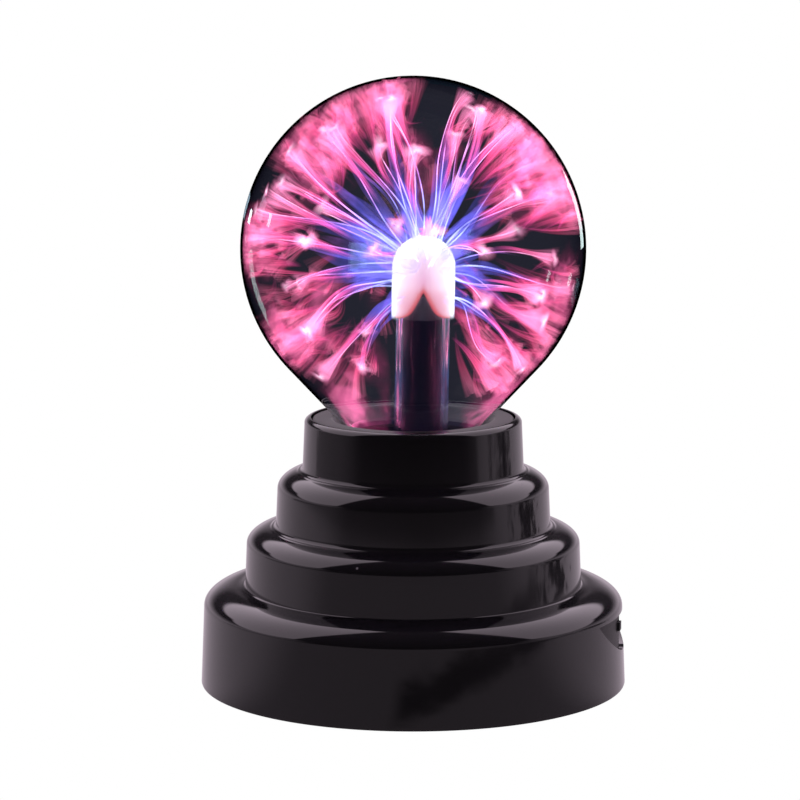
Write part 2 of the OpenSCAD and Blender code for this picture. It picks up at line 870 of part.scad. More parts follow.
module heat_sink_screw() {
    color("silver")
    translate([sink_x, sink_y - tab_t - 1.8, board_top + tab_lift + 12.2])
        rotate([-90, 0, 0])
            screw(1.5, tab_t + sink_t + 1.6, 2.7, 1.8);
}

module film_capacitor() {
    color("goldenrod")
    translate([9, -16, board_top]) {
        translate([0, 0, 0.6]) rounded_block([13, 6, 10.5], 1);
        for (x = [-5, 5])
            translate([x, 0, 0]) cylinder(r = 0.35, h = 0.6, $fn = small_fn);
    }
}

module electrolytic_capacitors() {
    // place across the board, diameter and height of each can
    cans = [[13.5, -4, 8, 11.5], [21.5, 4, 6.3, 11]];
    color("midnightblue")
    for (c = cans)
        translate([c[0], c[1], board_top])
            rotate_extrude($fn = 48)
                polygon([[0, 0.3], [c[2] / 2 - 0.3, 0.3], [c[2] / 2, 0.6],
                    [c[2] / 2, 1.4], [c[2] / 2 - 0.35, 1.9], [c[2] / 2, 2.4],
                    [c[2] / 2, c[3] - 0.4], [c[2] / 2 - 0.5, c[3]], [0, c[3]]]);
}

// Axial part lying along x on bent leads
module axial_part(d, l) {
    lift = d / 2 + 0.5;
    span = l + 4;
    lead_r = 0.3;
    translate([-l / 2, 0, lift]) rotate([0, 90, 0]) cylinder(d = d, h = l, $fn = small_fn);
    translate([-span / 2, 0, lift]) rotate([0, 90, 0])
        cylinder(r = lead_r, h = span, $fn = small_fn);
    for (x = [-1, 1])
        translate([x * (span / 2 - lead_r), 0, 0])
            cylinder(r = lead_r, h = lift, $fn = small_fn);
}

module resistors() {
    color("tan")
    for (i = [0 : 3])
        translate([6, 6 + 3.6 * i, board_top]) axial_part(2.3, 6);
}

module diode() {
    color("#222222")
    translate([-21, 9, board_top]) rotate([0, 0, 90]) axial_part(2.6, 5);
}

// ---------------------------------------------------------------- inlet

module jack_body() {
    color("#141414")
    rotate([0, 0, jack_angle]) difference() {
        union() {
            translate([jack_x0, -jack_w / 2, socket_z - jack_h / 2])
                cube([jack_l, jack_w, jack_h]);
            translate([jack_x1 - 1, 0, socket_z]) rotate([0, 90, 0])
                cylinder(r = jack_nose_r, h = jack_nose_x - jack_x1 + 1, $fn = 48);
        }
        translate([jack_pin_x, 0, socket_z]) rotate([0, 90, 0])
            cylinder(r = jack_bore_d / 2, h = 30, $fn = 48);
    }
}

module jack_pin() {
    tip = 0.3;
    color("silver")
    rotate([0, 0, jack_angle]) translate([jack_pin_x, 0, socket_z]) rotate([0, 90, 0]) {
        cylinder(d = jack_pin_d, h = jack_depth - 1.2, $fn = small_fn);
        translate([0, 0, jack_depth - 1.2])
            cylinder(d1 = jack_pin_d, d2 = jack_pin_d - 2 * tip, h = tip, $fn = small_fn);
    }
}

module jack_terminals() {
    color("gold")
    rotate([0, 0, jack_angle])
        for (y = [-1.8, 1.8])
            translate([jack_x0 - 2.6, y - 0.6, socket_z - 1]) cube([2.6, 1.2, 0.4]);
}

// Point in the frame of a fitting on the side, at an angle from +X
function at_side(angle, x, y, z) =
    [x * cos(angle) - y * sin(angle), x * sin(angle) + y * cos(angle), z];

// Two leads from a pair of terminals up to the underside of the board
module lead_pair(angle, x, y, z, land_x, land_y) {
    for (s = [-1, 1]) {
        start = at_side(angle, x, s * y, z);
        wire(smooth_path([
            start,
            start + [-1.6, 0, 0.3],
            [(start[0] + land_x) / 2, start[1] + (land_y + s - start[1]) * 0.4,
                z + (board_z - z) * 0.3],
            [land_x, land_y + s, board_z - 3],
            [land_x, land_y + s, board_z - 0.1]
        ]), wire_r);
    }
}

module jack_leads() {
    color("firebrick")
        lead_pair(jack_angle, jack_x0 - 2.6, 1.8, socket_z - 0.8, 22.5, 8);
}

// ---------------------------------------------------------------- switch

module switch_case() {
    slot_w = knob_w + switch_travel + 2 * play;
    slot_h = knob_h + 2 * play;
    room_w = carriage_w + switch_travel + 2 * play;
    color("#b9bcc0")
    rotate([0, 0, switch_angle])
    translate([0, switch_travel / 2, socket_z])
    difference() {
        translate([case_x0, -case_w / 2, -case_h / 2]) cube([case_d, case_w, case_h]);
        translate([case_x0 + case_t, -room_w / 2, -case_h / 2 + case_t])
            cube([case_d - 2 * case_t, room_w, case_h - 2 * case_t]);
        translate([case_x1 - case_t - 1, -slot_w / 2, -slot_h / 2])
            cube([case_t + 2, slot_w, slot_h]);
    }
}

// Ribbed knob with its carriage inside the case
module switch_knob() {
    carriage_h = case_h - 2 * case_t - 2 * play;
    end = panel_r + knob_proud;
    rib = 0.3;
    color("#222225")
    rotate([0, 0, switch_angle]) translate([0, 0, socket_z]) {
        translate([carriage_x, -carriage_w / 2, -carriage_h / 2])
            cube([carriage_d, carriage_w, carriage_h]);
        difference() {
            translate([carriage_x, -knob_w / 2, -knob_h / 2])
                cube([end - carriage_x, knob_w, knob_h]);
            for (y = [-0.6, 0, 0.6])
                translate([end - rib, y - 0.12, -knob_h / 2 - 1])
                    cube([rib + 1, 0.24, knob_h + 2]);
        }
    }
}

// Springy bridge that the carriage slides over the terminals
module switch_wiper() {
    gap = carriage_x - case_x0 - case_t - 2 * play;
    color("gold")
    rotate([0, 0, switch_angle]) translate([carriage_x, 0, socket_z]) {
        translate([-0.3, -1.6, -0.8]) cube([0.3, 3.2, 1.6]);
        for (y = [-1, 1])
            translate([-gap, y * 1.35 - 0.25, -0.5]) cube([gap, 0.5, 1]);
    }
}

module switch_terminals() {
    color("gold")
    rotate([0, 0, switch_angle])
        for (y = [0, 3])
            translate([case_x0 - 2.6, y - 0.5, socket_z - 0.2]) cube([2.6, 1, 0.4]);
}

module switch_leads() {
    mid = [case_x0 - 2.6, 0, 0];
    color("gainsboro")
    for (y = [0, 3]) {
        start = at_side(switch_angle, mid[0], y, socket_z);
        land = [22.5, -9 + y, board_z - 0.1];
        wire(smooth_path([
            start,
            start + [-2, 0, 0.2],
            (start + land) / 2 + [0, 0, -1],
            land + [0, 0, -3],
            land
        ]), wire_r);
    }
}

// ---------------------------------------------------------------- batteries

// Middle of each cell across the bay
function cell_x(i) = (i - (cell_count - 1) / 2) * (cell_d + cell_gap);

// +1 where the button points to +Y
function cell_way(i) = i % 2 == 0 ? 1 : -1;

module battery_cell() {
    button_r = 1.9;
    button_l = 0.9;
    l = cell_l - button_l;
    edge = 0.5;
    rotate([-90, 0, 0]) rotate_extrude($fn = 48)
        polygon([[0, 0], [cell_r - edge, 0], [cell_r, edge], [cell_r, l - edge],
            [cell_r - edge, l], [button_r, l], [button_r, cell_l], [0, cell_l]]);
}

// Puts children at the flat end of cell i, with +Y towards its button
module at_cell(i) {
    way = cell_way(i);
    y0 = -way * (bay_l / 2 - fit - contact_t - fit - spring_l);
    translate([cell_x(i), y0, cell_cz]) rotate([0, 0, way > 0 ? 0 : 180]) children();
}

module battery_cells() {
    color("seagreen")
    for (i = [0 : cell_count - 1]) at_cell(i) battery_cell();
}

// Conical springs at the flat ends
module battery_springs() {
    turns = 3;
    steps = 10;
    spring_wire = 0.3;
    pitch_l = spring_l - 2 * spring_wire - fit;
    color("silver")
    for (i = [0 : cell_count - 1]) at_cell(i)
        wire([for (k = [0 : turns * steps])
            let (t = k / (turns * steps), a = 360 * k / steps, r = 1.6 + 1.6 * t)
            [r * cos(a), -spring_wire - fit / 2 - pitch_l * t, r * sin(a)]],
            spring_wire, 6);
}

// One plate across two cells, or a single plate with a solder tab
module contact_plate(x0, x1, y, tab) {
    h = cell_d - 2.5;
    translate([x0 - 3.6, y, cell_cz - h / 2]) cube([x1 - x0 + 7.2, contact_t, h]);
    if (tab)
        translate([(x0 + x1) / 2 - 1.2, y, cell_cz])
            cube([2.4, contact_t, bay_top + bay_wall + 1.5 - cell_cz]);
}

module battery_contacts() {
    back_y = bay_l / 2 - fit - contact_t;
    front_y = -bay_l / 2 + fit;
    last = cell_count - 1;
    color("gainsboro") {
        for (i = [0 : 2 : last - 1])
            contact_plate(cell_x(i), cell_x(i + 1), front_y, false);
        for (i = [1 : 2 : last - 2])
            contact_plate(cell_x(i), cell_x(i + 1), back_y, false);
        contact_plate(cell_x(0), cell_x(0), back_y, true);
        contact_plate(cell_x(last), cell_x(last), back_y, true);
    }
}

module battery_leads() {
    last = cell_count - 1;
    y = bay_l / 2 - fit - contact_t / 2;
    z = bay_top + bay_wall + 1.5;
    color("crimson")
    for (x = [cell_x(0), cell_x(last)])
        wire(smooth_path([
            [x, y, z + 0.05],
            [x, y, z + 0.6],
            [x, y, z + 1.2],
            [x * 0.82, y - 7, board_z - 3],
            [x * 0.8, y - 7.5, board_z - 1.5],
            [x * 0.8, y - 7.5, board_z - 0.1]
        ]), wire_r);
}

// ---------------------------------------------------------------- assembly

globe_glass();
stem_tube();
exhaust_tip();
electrode_liner();
electrode_core();
hv_ferrule();
hv_lead();
globe_cushion();
retaining_ring();
upper_housing();
lower_housing();
side_panel();
base_plate();
battery_door();
rubber_feet();
base_screws();
housing_screws();
circuit_board();
board_screws();
transformer_core();
transformer_bobbin();
primary_winding();
hv_winding();
power_transistor();
heat_sink();
heat_sink_screw();
film_capacitor();
electrolytic_capacitors();
resistors();
diode();
jack_body();
jack_pin();
jack_terminals();
jack_leads();
switch_case();
switch_knob();
switch_wiper();
switch_terminals();
switch_leads();
battery_cells();
battery_springs();
battery_contacts();
battery_leads();
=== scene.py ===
# %% [markdown]
# # A plasma ball
# A plasma ball is a glass globe filled with thin gas, set on a moulded base that
# hides a high-voltage driver. The mechanical frame comes ready made: every node is
# already in place, in metres, standing on z = 0 with the front towards -Y. This file
# adds what the eye sees: gloss plastic, blown glass, and the glowing discharge.

# %% The frame and the libraries
import bpy, bmesh, json, math, random
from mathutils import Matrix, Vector, noise


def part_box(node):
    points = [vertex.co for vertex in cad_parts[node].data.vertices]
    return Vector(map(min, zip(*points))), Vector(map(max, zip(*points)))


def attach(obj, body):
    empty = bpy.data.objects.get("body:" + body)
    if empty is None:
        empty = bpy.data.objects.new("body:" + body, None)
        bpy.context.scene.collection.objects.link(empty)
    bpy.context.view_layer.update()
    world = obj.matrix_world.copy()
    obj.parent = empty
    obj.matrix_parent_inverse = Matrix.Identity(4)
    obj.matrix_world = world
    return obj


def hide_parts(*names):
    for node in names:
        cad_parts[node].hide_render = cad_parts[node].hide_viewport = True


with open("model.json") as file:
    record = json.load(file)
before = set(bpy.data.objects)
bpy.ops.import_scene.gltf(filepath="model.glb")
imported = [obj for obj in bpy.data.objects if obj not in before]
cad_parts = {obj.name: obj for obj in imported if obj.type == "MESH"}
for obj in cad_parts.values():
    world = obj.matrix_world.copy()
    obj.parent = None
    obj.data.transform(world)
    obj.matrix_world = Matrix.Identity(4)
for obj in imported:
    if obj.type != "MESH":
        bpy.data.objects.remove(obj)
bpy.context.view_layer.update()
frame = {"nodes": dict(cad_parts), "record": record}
nodes = frame["nodes"]
scene = bpy.context.scene
MM = 0.001

# %% [markdown]
# ## Measures
# Every place is worked out from the nodes of the frame, so a change to the frame
# moves the looks with it. The globe's centre lies one radius under its top, and the
# stem's axis leans a little, as a stem set by hand in a flame does.

# %% Places on the object
globe_lo, globe_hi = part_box("globe_glass")
globe_r = (globe_hi.x - globe_lo.x) / 2
centre = Vector((0, 0, globe_hi.z - globe_r))
glass_t = 0.4 * MM
neck_r = 15.0 * MM
stem_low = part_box("stem_tube")[0].z
stem_r = 6.3 * MM
liner_lo, liner_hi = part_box("electrode_liner")
stem_axis_x = (liner_lo.x + liner_hi.x) / 2
dome_z = liner_hi.z - stem_r + 1.2 * MM
tip_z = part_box("electrode_core")[1].z
ring_lo, ring_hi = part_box("retaining_ring")
print("globe radius", round(globe_r, 5), "centre", tuple(round(c, 5) for c in centre))

# %% [markdown]
# ## Helpers for nodes
# A material or a geometry tree is a list of nodes and links. `add` makes one node,
# sets its properties, and fills its inputs with numbers or with other nodes'
# outputs, so that a whole pattern reads as a few nested calls.

# %% Node helpers
def add(tree, kind, sockets=None, **props):
    """Adds a node; sockets maps an input's name or number to a value or an output."""
    item = tree.nodes.new(kind)
    for key, value in props.items():
        setattr(item, key, value)
    for key, value in (sockets or {}).items():
        socket = item.inputs[key]
        if isinstance(value, bpy.types.NodeSocket):
            tree.links.new(value, socket)
        else:
            socket.default_value = value
    return item


def calc(tree, operation, a, b=0.0, c=0.0, clamp=False):
    """One step of arithmetic on numbers or outputs."""
    return add(tree, "ShaderNodeMath", {0: a, 1: b, 2: c},
               operation=operation, use_clamp=clamp).outputs[0]


def plus(tree, a, b):
    return calc(tree, "ADD", a, b)


def minus(tree, a, b, clamp=False):
    return calc(tree, "SUBTRACT", a, b, clamp=clamp)


def times(tree, a, b, clamp=False):
    return calc(tree, "MULTIPLY", a, b, clamp=clamp)


def remap(tree, value, low, high, to_low=0.0, to_high=1.0):
    """Takes low..high to to_low..to_high with a smooth curve."""
    return add(tree, "ShaderNodeMapRange",
               {"Value": value, "From Min": low, "From Max": high,
                "To Min": to_low, "To Max": to_high},
               interpolation_type="SMOOTHSTEP").outputs[0]


def blend(tree, factor, first, second):
    """Colour between two colours."""
    return add(tree, "ShaderNodeMix", {0: factor, 6: first, 7: second}, data_type="RGBA").outputs[2]


def ramp(tree, value, stops):
    """Colour ramp with stops as (place, colour)."""
    item = add(tree, "ShaderNodeValToRGB", {0: value})
    elements = item.color_ramp.elements
    while len(elements) < len(stops):
        elements.new(0.5)
    for element, (place, colour) in zip(elements, stops):
        element.position = place
        element.color = (*colour, 1.0)
    return item.outputs[0]


def position(tree):
    """The object's own coordinates."""
    return add(tree, "ShaderNodeTexCoord").outputs["Object"]


def grain(tree, scale, detail=2.0, roughness=0.5, vector=None):
    """Fractal noise on the object's own coordinates, or on others."""
    return add(tree, "ShaderNodeTexNoise",
               {"Vector": vector or position(tree), "Scale": scale, "Detail": detail,
                "Roughness": roughness}).outputs[0]


def attribute(tree, name):
    """A value stored on the mesh."""
    return add(tree, "ShaderNodeAttribute", attribute_name=name).outputs["Fac"]


# %% Material helpers
def finish(name, colour, roughness, **sockets):
    """A material with one Principled shader; extra sockets go by name."""
    material = bpy.data.materials.new(name)
    material.use_nodes = True
    tree = material.node_tree
    shader = tree.nodes["Principled BSDF"]
    shader.inputs["Base Color"].default_value = (*colour, 1.0)
    shader.inputs["Roughness"].default_value = roughness
    for key, value in sockets.items():
        shader.inputs[key.replace("_", " ")].default_value = value
    return material, tree, shader


def relief(tree, shader, height, distance):
    """Fine relief in the surface, from a height between 0 and 1."""
    bump = add(tree, "ShaderNodeBump", {"Height": height, "Distance": distance, "Strength": 1.0})
    tree.links.new(bump.outputs[0], shader.inputs["Normal"])


def tint(tree, shader, factor, dark, light):
    """Base colour between two colours."""
    colour = ramp(tree, factor, [(0.3, dark), (0.7, light)])
    tree.links.new(colour, shader.inputs["Base Color"])


# %% [markdown]
# ## Helpers for meshes
# Most pieces of a lamp like this are turned or moulded round an axis, so one lathe
# helper makes them: it sweeps a closed outline round Z, closes the poles, turns the
# faces outwards, and marks as sharp only the edges that really are.

# %% Mesh helpers
def new_piece(name, mesh, body, slot, replaced, *materials):
    """Puts a finished mesh on its body, for the nodes that it replaces; its slot is not used."""
    piece = bpy.data.objects.new(name, mesh)
    scene.collection.objects.link(piece)
    for material in materials:
        mesh.materials.append(material)
    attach(piece, body)
    if replaced:
        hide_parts(*replaced)
    return piece


def lathe_mesh(name, outline, around=192, sharp=35):
    """Closed solid of revolution; outline is a loop of (radius, height)."""
    work = bmesh.new()
    rings = []
    for radius, height in outline:
        if radius < 1e-7:
            rings.append([work.verts.new((0, 0, height))])
        else:
            rings.append([work.verts.new((radius * math.cos(2 * math.pi * k / around),
                                          radius * math.sin(2 * math.pi * k / around),
                                          height)) for k in range(around)])
    for low, high in zip(rings, rings[1:] + rings[:1]):
        for k in range(around):
            j = (k + 1) % around
            corners = [low[k % len(low)], low[j % len(low)],
                       high[j % len(high)], high[k % len(high)]]
            face = list(dict.fromkeys(corners))
            if len(face) > 2:
                work.faces.new(face)
    return to_mesh(work, name, sharp)


def to_mesh(work, name, sharp=35):
    """Ends a bmesh: merges doubles, turns faces outwards, shades it smooth."""
    bmesh.ops.remove_doubles(work, verts=work.verts, dist=1e-7)
    bmesh.ops.recalc_face_normals(work, faces=work.faces)
    mesh = bpy.data.meshes.new(name)
    work.to_mesh(mesh)
    work.free()
    mesh.shade_smooth()
    mesh.set_sharp_from_angle(angle=math.radians(sharp))
    return mesh


def values_mesh(name, points, edges, faces, values):
    """A mesh from its points, edges and faces, with values stored on its points."""
    mesh = bpy.data.meshes.new(name)
    mesh.from_pydata(points, edges, faces)
    for key, numbers in values.items():
        layer = mesh.attributes.new(key, "FLOAT", "POINT")
        layer.data.foreach_set("value", numbers)
    return mesh


def rounded(points, radii, steps=5):
    """Loop of points with an arc of each radius at its corner."""
    loop = []
    count = len(points)
    for i, radius in enumerate(radii):
        corner = Vector(points[i])
        back = Vector(points[i - 1]) - corner
        ahead = Vector(points[(i + 1) % count]) - corner
        if radius <= 0:
            loop.append(tuple(corner))
            continue
        reach = min(radius, back.length * 0.45, ahead.length * 0.45)
        start = corner + back.normalized() * reach
        end = corner + ahead.normalized() * reach
        for k in range(steps + 1):
            t = k / steps
            point = start * (1 - t) ** 2 + corner * (2 * t * (1 - t)) + end * t ** 2
            loop.append(tuple(point))
    return loop


# %% [markdown]
# ## Camera
# The ball is seen from the front, a little from above, with a long lens, so that the
# steps of the base stay nearly parallel. The shift only moves the ball in the frame.

# %% Camera
camera_data = bpy.data.cameras.new("camera")
camera_data.lens = 162.5
camera_data.sensor_width = 36
camera_data.shift_x = -0.0165
camera_data.clip_start = 0.01
camera = bpy.data.objects.new("camera", camera_data)
camera.location = (0, -0.8295, 0.2035)
camera.rotation_euler = (math.radians(80.68), 0, 0)
scene.collection.objects.link(camera)
scene.camera = camera
scene.view_settings.view_transform = "Standard"
scene.cycles.transparent_max_bounces = 96

# %% [markdown]
# ## Studio
# Gloss black plastic has almost no colour of its own: what shows is the room that it
# reflects. So the room is designed first. A white tent stands behind and beside the
# ball, the space in front of it stays dark, and the floor is a pale sheet. The same
# sheet is pure white to the lens, so that the ball stands on a plain ground.

# %% The tent's light
ROOF_LIGHT, HORIZON_LIGHT, FRONT_LIGHT = 1.75, 0.85, 0.05


def tent_light(tree, direction):
    """Brightness of the tent in a direction: a lit roof behind and beside, a pale
    horizon at the back, and dark in front."""
    axes = add(tree, "ShaderNodeSeparateXYZ", {0: direction})
    x = calc(tree, "ABSOLUTE", axes.outputs["X"])
    y, z = axes.outputs["Y"], axes.outputs["Z"]
    front = plus(tree, y, times(tree, x, 1.35))
    front = plus(tree, front, times(tree, z, 0.4))
    beside = times(tree, calc(tree, "MAXIMUM", minus(tree, x, 0.75), 0.0), 1.1)
    eaves = remap(tree, plus(tree, z, beside), 0.36, 0.42)
    roof = times(tree, remap(tree, front, 0.91, 0.95), eaves)
    back = remap(tree, plus(tree, y, times(tree, x, 1.2)), 0.3, 1.1)
    horizon = times(tree, remap(tree, z, 0.03, 0.30, HORIZON_LIGHT, 0.0), back)
    light = calc(tree, "MAXIMUM", times(tree, roof, ROOF_LIGHT), horizon)
    return calc(tree, "MAXIMUM", light, FRONT_LIGHT)


def glow_material(name, colour, brightness_of):
    """Plain emission whose strength comes from a function of the tree."""
    material = bpy.data.materials.new(name)
    material.use_nodes = True
    tree = material.node_tree
    tree.nodes.clear()
    light = add(tree, "ShaderNodeEmission", {"Color": (*colour, 1), "Strength": brightness_of(tree)})
    add(tree, "ShaderNodeOutputMaterial", {"Surface": light.outputs[0]})
    return material


def studio_piece(name, mesh, material):
    """A piece of the studio that only the base's reflections see."""
    mesh.materials.append(material)
    piece = bpy.data.objects.new(name, mesh)
    scene.collection.objects.link(piece)
    piece.visible_camera = False
    piece.visible_transmission = False
    piece.visible_shadow = False
    piece.light_linking.receiver_collection = lit_by_tent
    return piece


lit_by_tent = bpy.data.collections.new("lit_by_tent")
lit_by_glints = bpy.data.collections.new("lit_by_glints")
SHEET_WHITE = (1.0, 0.84, 0.97)


def direction_from_middle(tree):
    """Direction from the middle of the tent."""
    return add(tree, "ShaderNodeVectorMath", {0: position(tree)}, operation="NORMALIZE").outputs[0]


work = bmesh.new()
bmesh.ops.create_icosphere(work, subdivisions=4, radius=8.0)
tent_mesh = bpy.data.meshes.new("tent")
work.to_mesh(tent_mesh)
work.free()
studio_piece("tent", tent_mesh, glow_material(
    "tent_sheet", SHEET_WHITE, lambda tree: tent_light(tree, direction_from_middle(tree))))

world = bpy.data.worlds.new("studio")
scene.world = world
world.use_nodes = True
sky = world.node_tree
sky.nodes.clear()
path = add(sky, "ShaderNodeLightPath").outputs
seen = blend(sky, path["Is Camera Ray"], (0.004, 0.024, 0.026, 1), (1, 1, 1, 1))
background = add(sky, "ShaderNodeBackground", {"Color": seen, "Strength": 1.0})
add(sky, "ShaderNodeOutputWorld", {"Surface": background.outputs[0]})
print("tent ready")

# %% The floor, and the light that it throws back
def square_mesh(name, reach, height):
    """A level square that faces up."""
    return values_mesh(name, [(-reach, -reach, height), (reach, -reach, height),
                              (reach, reach, height), (-reach, reach, height)],
                       [], [(0, 1, 2, 3)], {})


def floor_white(tree):
    """Pure white to the lens, and nearly black to everything else."""
    path = add(tree, "ShaderNodeLightPath").outputs
    return add(tree, "ShaderNodeMix", {0: path["Is Camera Ray"], 2: 0.02, 3: 1.0}).outputs[0]


# Where the painted dark marks in the floor's light lie: turns round the ball, in radians from the
# front
STREAK_AT, LINE_AT, SHADE_AT, ROOM_AT = 1.86, 1.50, 0.68, -0.43
# the marks and the shade among them are painted dark into the floor's light, for the base's
# reflections
MARK_DEPTH, SHADE_DEPTH = 0.88, 0.85  # how dark the marks are, and the shade among them


def floor_throw(tree):
    """Pale near the ball, fading in front and staying pale behind and beside it."""
    place = position(tree)
    distance = add(tree, "ShaderNodeVectorMath", {0: place}, operation="LENGTH").outputs["Value"]
    axes = add(tree, "ShaderNodeSeparateXYZ", {0: place})
    fall = remap(tree, distance, 0.25, 0.75, 0.34, 0.12)
    beside = calc(tree, "DIVIDE", calc(tree, "ABSOLUTE", axes.outputs["X"]), distance)
    behind = calc(tree, "DIVIDE", axes.outputs["Y"], distance)
    side = remap(tree, plus(tree, behind, times(tree, beside, 1.2)), 0.3, 1.1)
    pale = add(tree, "ShaderNodeMix", {0: side, 2: fall, 3: 0.7}).outputs[0]
    to_front = times(tree, axes.outputs["Y"], -1.0)
    turn = calc(tree, "ARCTAN2", axes.outputs["X"], to_front)
    ragged = minus(tree, grain(tree, 30, 3.0, 0.6, place), 0.5)
    streaks = add(tree, "ShaderNodeCombineXYZ",
                  {0: times(tree, turn, 4.0), 1: times(tree, distance, 14.0)})
    streaks = grain(tree, 2.4, 3.0, 0.6, streaks.outputs[0])
    # Painted shade: a dark streaky band and a thin dark line in the sheet's light at the right, which
    # the base reflects
    clear_of_base = remap(tree, distance, 0.16, 0.18)
    dark_streak = calc(tree, "ABSOLUTE", minus(tree, turn, STREAK_AT))
    dark_streak = plus(tree, dark_streak, times(tree, minus(tree, streaks, 0.5), 1.3))
    dark_streak = times(tree, remap(tree, dark_streak, 0.15, 0.165, 1.0, 0.0), clear_of_base)
    dark_line = plus(tree, minus(tree, turn, LINE_AT), times(tree, ragged, 0.5))
    dark_line = remap(tree, calc(tree, "ABSOLUTE", dark_line), 0.012, 0.03, 1.0, 0.0)
    dark_line = times(tree, dark_line, clear_of_base)
    # A ragged shade on the floor, in front and to the right
    line = plus(tree, times(tree, turn, 0.075), 0.105)
    shade = calc(tree, "ABSOLUTE", minus(tree, distance, line))
    shade = plus(tree, shade, times(tree, ragged, 0.07))
    reach = remap(tree, calc(tree, "ABSOLUTE", minus(tree, turn, SHADE_AT)), 0.72, 0.86, 1.0, 0.0)
    shade = times(tree, remap(tree, shade, 0.008, 0.048, 1.0, 0.0), reach)
    # Painted shade for the room in front of the sheet's far edge, which only the collar shows
    room = calc(tree, "ABSOLUTE", minus(tree, turn, ROOM_AT))
    room = plus(tree, room, times(tree, ragged, 0.30))
    room = times(tree, remap(tree, room, 1.60, 1.66, 0.62, 0.0), remap(tree, distance, 0.34, 0.40))
    dark = calc(tree, "MAXIMUM", calc(tree, "MAXIMUM", dark_streak, dark_line), times(tree, shade, SHADE_DEPTH))
    dark = calc(tree, "MAXIMUM", dark, room)
    return times(tree, pale, minus(tree, 1.0, times(tree, dark, MARK_DEPTH)))


FLOOR_REACH = 7.0
floor_mesh = square_mesh("floor", FLOOR_REACH, 0.0)
floor = bpy.data.objects.new("floor", floor_mesh)
scene.collection.objects.link(floor)
floor.visible_glossy = False
floor_mat = glow_material("floor_sheet", (1, 1, 1), floor_white)
sheet = floor_mat.node_tree
below = add(sheet, "ShaderNodeNewGeometry").outputs["Backfacing"]
nothing = add(sheet, "ShaderNodeBsdfTransparent").outputs[0]
top_only = add(sheet, "ShaderNodeMixShader",
               {0: below, 1: sheet.nodes["Emission"].outputs[0], 2: nothing}).outputs[0]
sheet.links.new(top_only, sheet.nodes["Material Output"].inputs["Surface"])
floor_mesh.materials.append(floor_mat)
studio_piece("floor_throw", square_mesh("floor_throw", FLOOR_REACH, -0.2 * MM),
             glow_material("floor_throw_sheet", SHEET_WHITE, floor_throw))

# %% [markdown]
# The glass shows other things than the base does: bright strips at its limbs, and a
# window that looks like a grey-blue patch. Each is a lamp that only the glass sees,
# a metre from the globe's centre.

# %% Glints on the glass
GLINTS = [  # direction from the globe's centre, width, height, radiance, colour
    ((0.50, 0.865, 0.01), 0.15, 0.24, 2.6, (0.8, 1.0, 1.0)),
    ((0.827, 0.508, -0.242), 0.10, 0.16, 8.0, (0.9, 1.0, 1.0)),
    ((-0.86, 0.42, -0.28), 0.11, 0.34, 5.0, (0.5, 0.85, 1.0)),
    ((-0.786, 0.60, 0.139), 0.16, 0.12, 1.0, (0.6, 0.8, 1.0)),
    ((-0.91, 0.388, 0.136), 0.06, 0.08, 6.0, (0.8, 1.0, 1.0)),
    ((-0.44, -0.90, -0.01), 0.34, 0.36, 2.4, (0.35, 0.5, 1.0)),
    ((-0.53, -0.845, -0.01), 0.08, 0.34, 2.4, (0.4, 0.7, 0.9)),
]
for number, (way, width, height, radiance, colour) in enumerate(GLINTS):
    lamp = bpy.data.lights.new("glint_%d" % number, "AREA")
    lamp.shape = "RECTANGLE"
    lamp.size, lamp.size_y = width, height
    lamp.energy = radiance * math.pi * width * height
    lamp.color = colour
    glint = bpy.data.objects.new("glint_%d" % number, lamp)
    scene.collection.objects.link(glint)
    way = Vector(way).normalized()
    glint.location = centre + way
    glint.rotation_euler = way.to_track_quat("Z", "Y").to_euler()
    glint.visible_camera = False
    glint.visible_transmission = False
    glint.light_linking.receiver_collection = lit_by_glints
print(len(GLINTS), "lamps for the glass")

# %% [markdown]
# ## Gloss black plastic
# The base is moulded in black plastic with a polished surface. It has a clear, cold
# reflection, a faint purple tone, and a very slight waviness left by the mould. A few
# specks of dust always settle on it. The specks are a sparse cell pattern: only a few
# cells are chosen, and each one shows a tiny pale dot.

# %% Gloss black
BLACK, DUST = (0.010, 0.009, 0.012), (0.25, 0.24, 0.26)
SPECKS_PER_CELL = 0.015


def gloss_black(name):
    """Polished black plastic with a few specks of dust."""
    material, tree, shader = finish(name, BLACK, 0.06, Specular_IOR_Level=0.5)
    cells = add(tree, "ShaderNodeTexVoronoi", {"Vector": position(tree), "Scale": 160.0})
    lot = add(tree, "ShaderNodeSeparateColor", {0: cells.outputs["Color"]}).outputs[0]
    chosen = calc(tree, "GREATER_THAN", lot, 1 - SPECKS_PER_CELL)
    dot = calc(tree, "LESS_THAN", cells.outputs["Distance"], 0.045)
    speck = times(tree, chosen, dot)
    colour = blend(tree, speck, (*BLACK, 1), (*DUST, 1))
    tree.links.new(colour, shader.inputs["Base Color"])
    dull = remap(tree, grain(tree, 90, 3.0), 0.35, 0.75, 0.05, 0.09)
    dull = plus(tree, dull, times(tree, speck, 0.6))
    tree.links.new(dull, shader.inputs["Roughness"])
    relief(tree, shader, grain(tree, 45, 1.0), 0.00006)
    return material


gloss = gloss_black("gloss_black_plastic")

# %% [markdown]
# ## Housings
# The base is two mouldings. The lower one is the widest step; the upper one carries
# the second step, the third step and the collar. Each step is a drafted wall that
# rolls over a broad shoulder into a flat ledge. The shoulders are quarter ellipses,
# worked out from each step's width and height, and every edge has the small radius
# that a mould leaves.

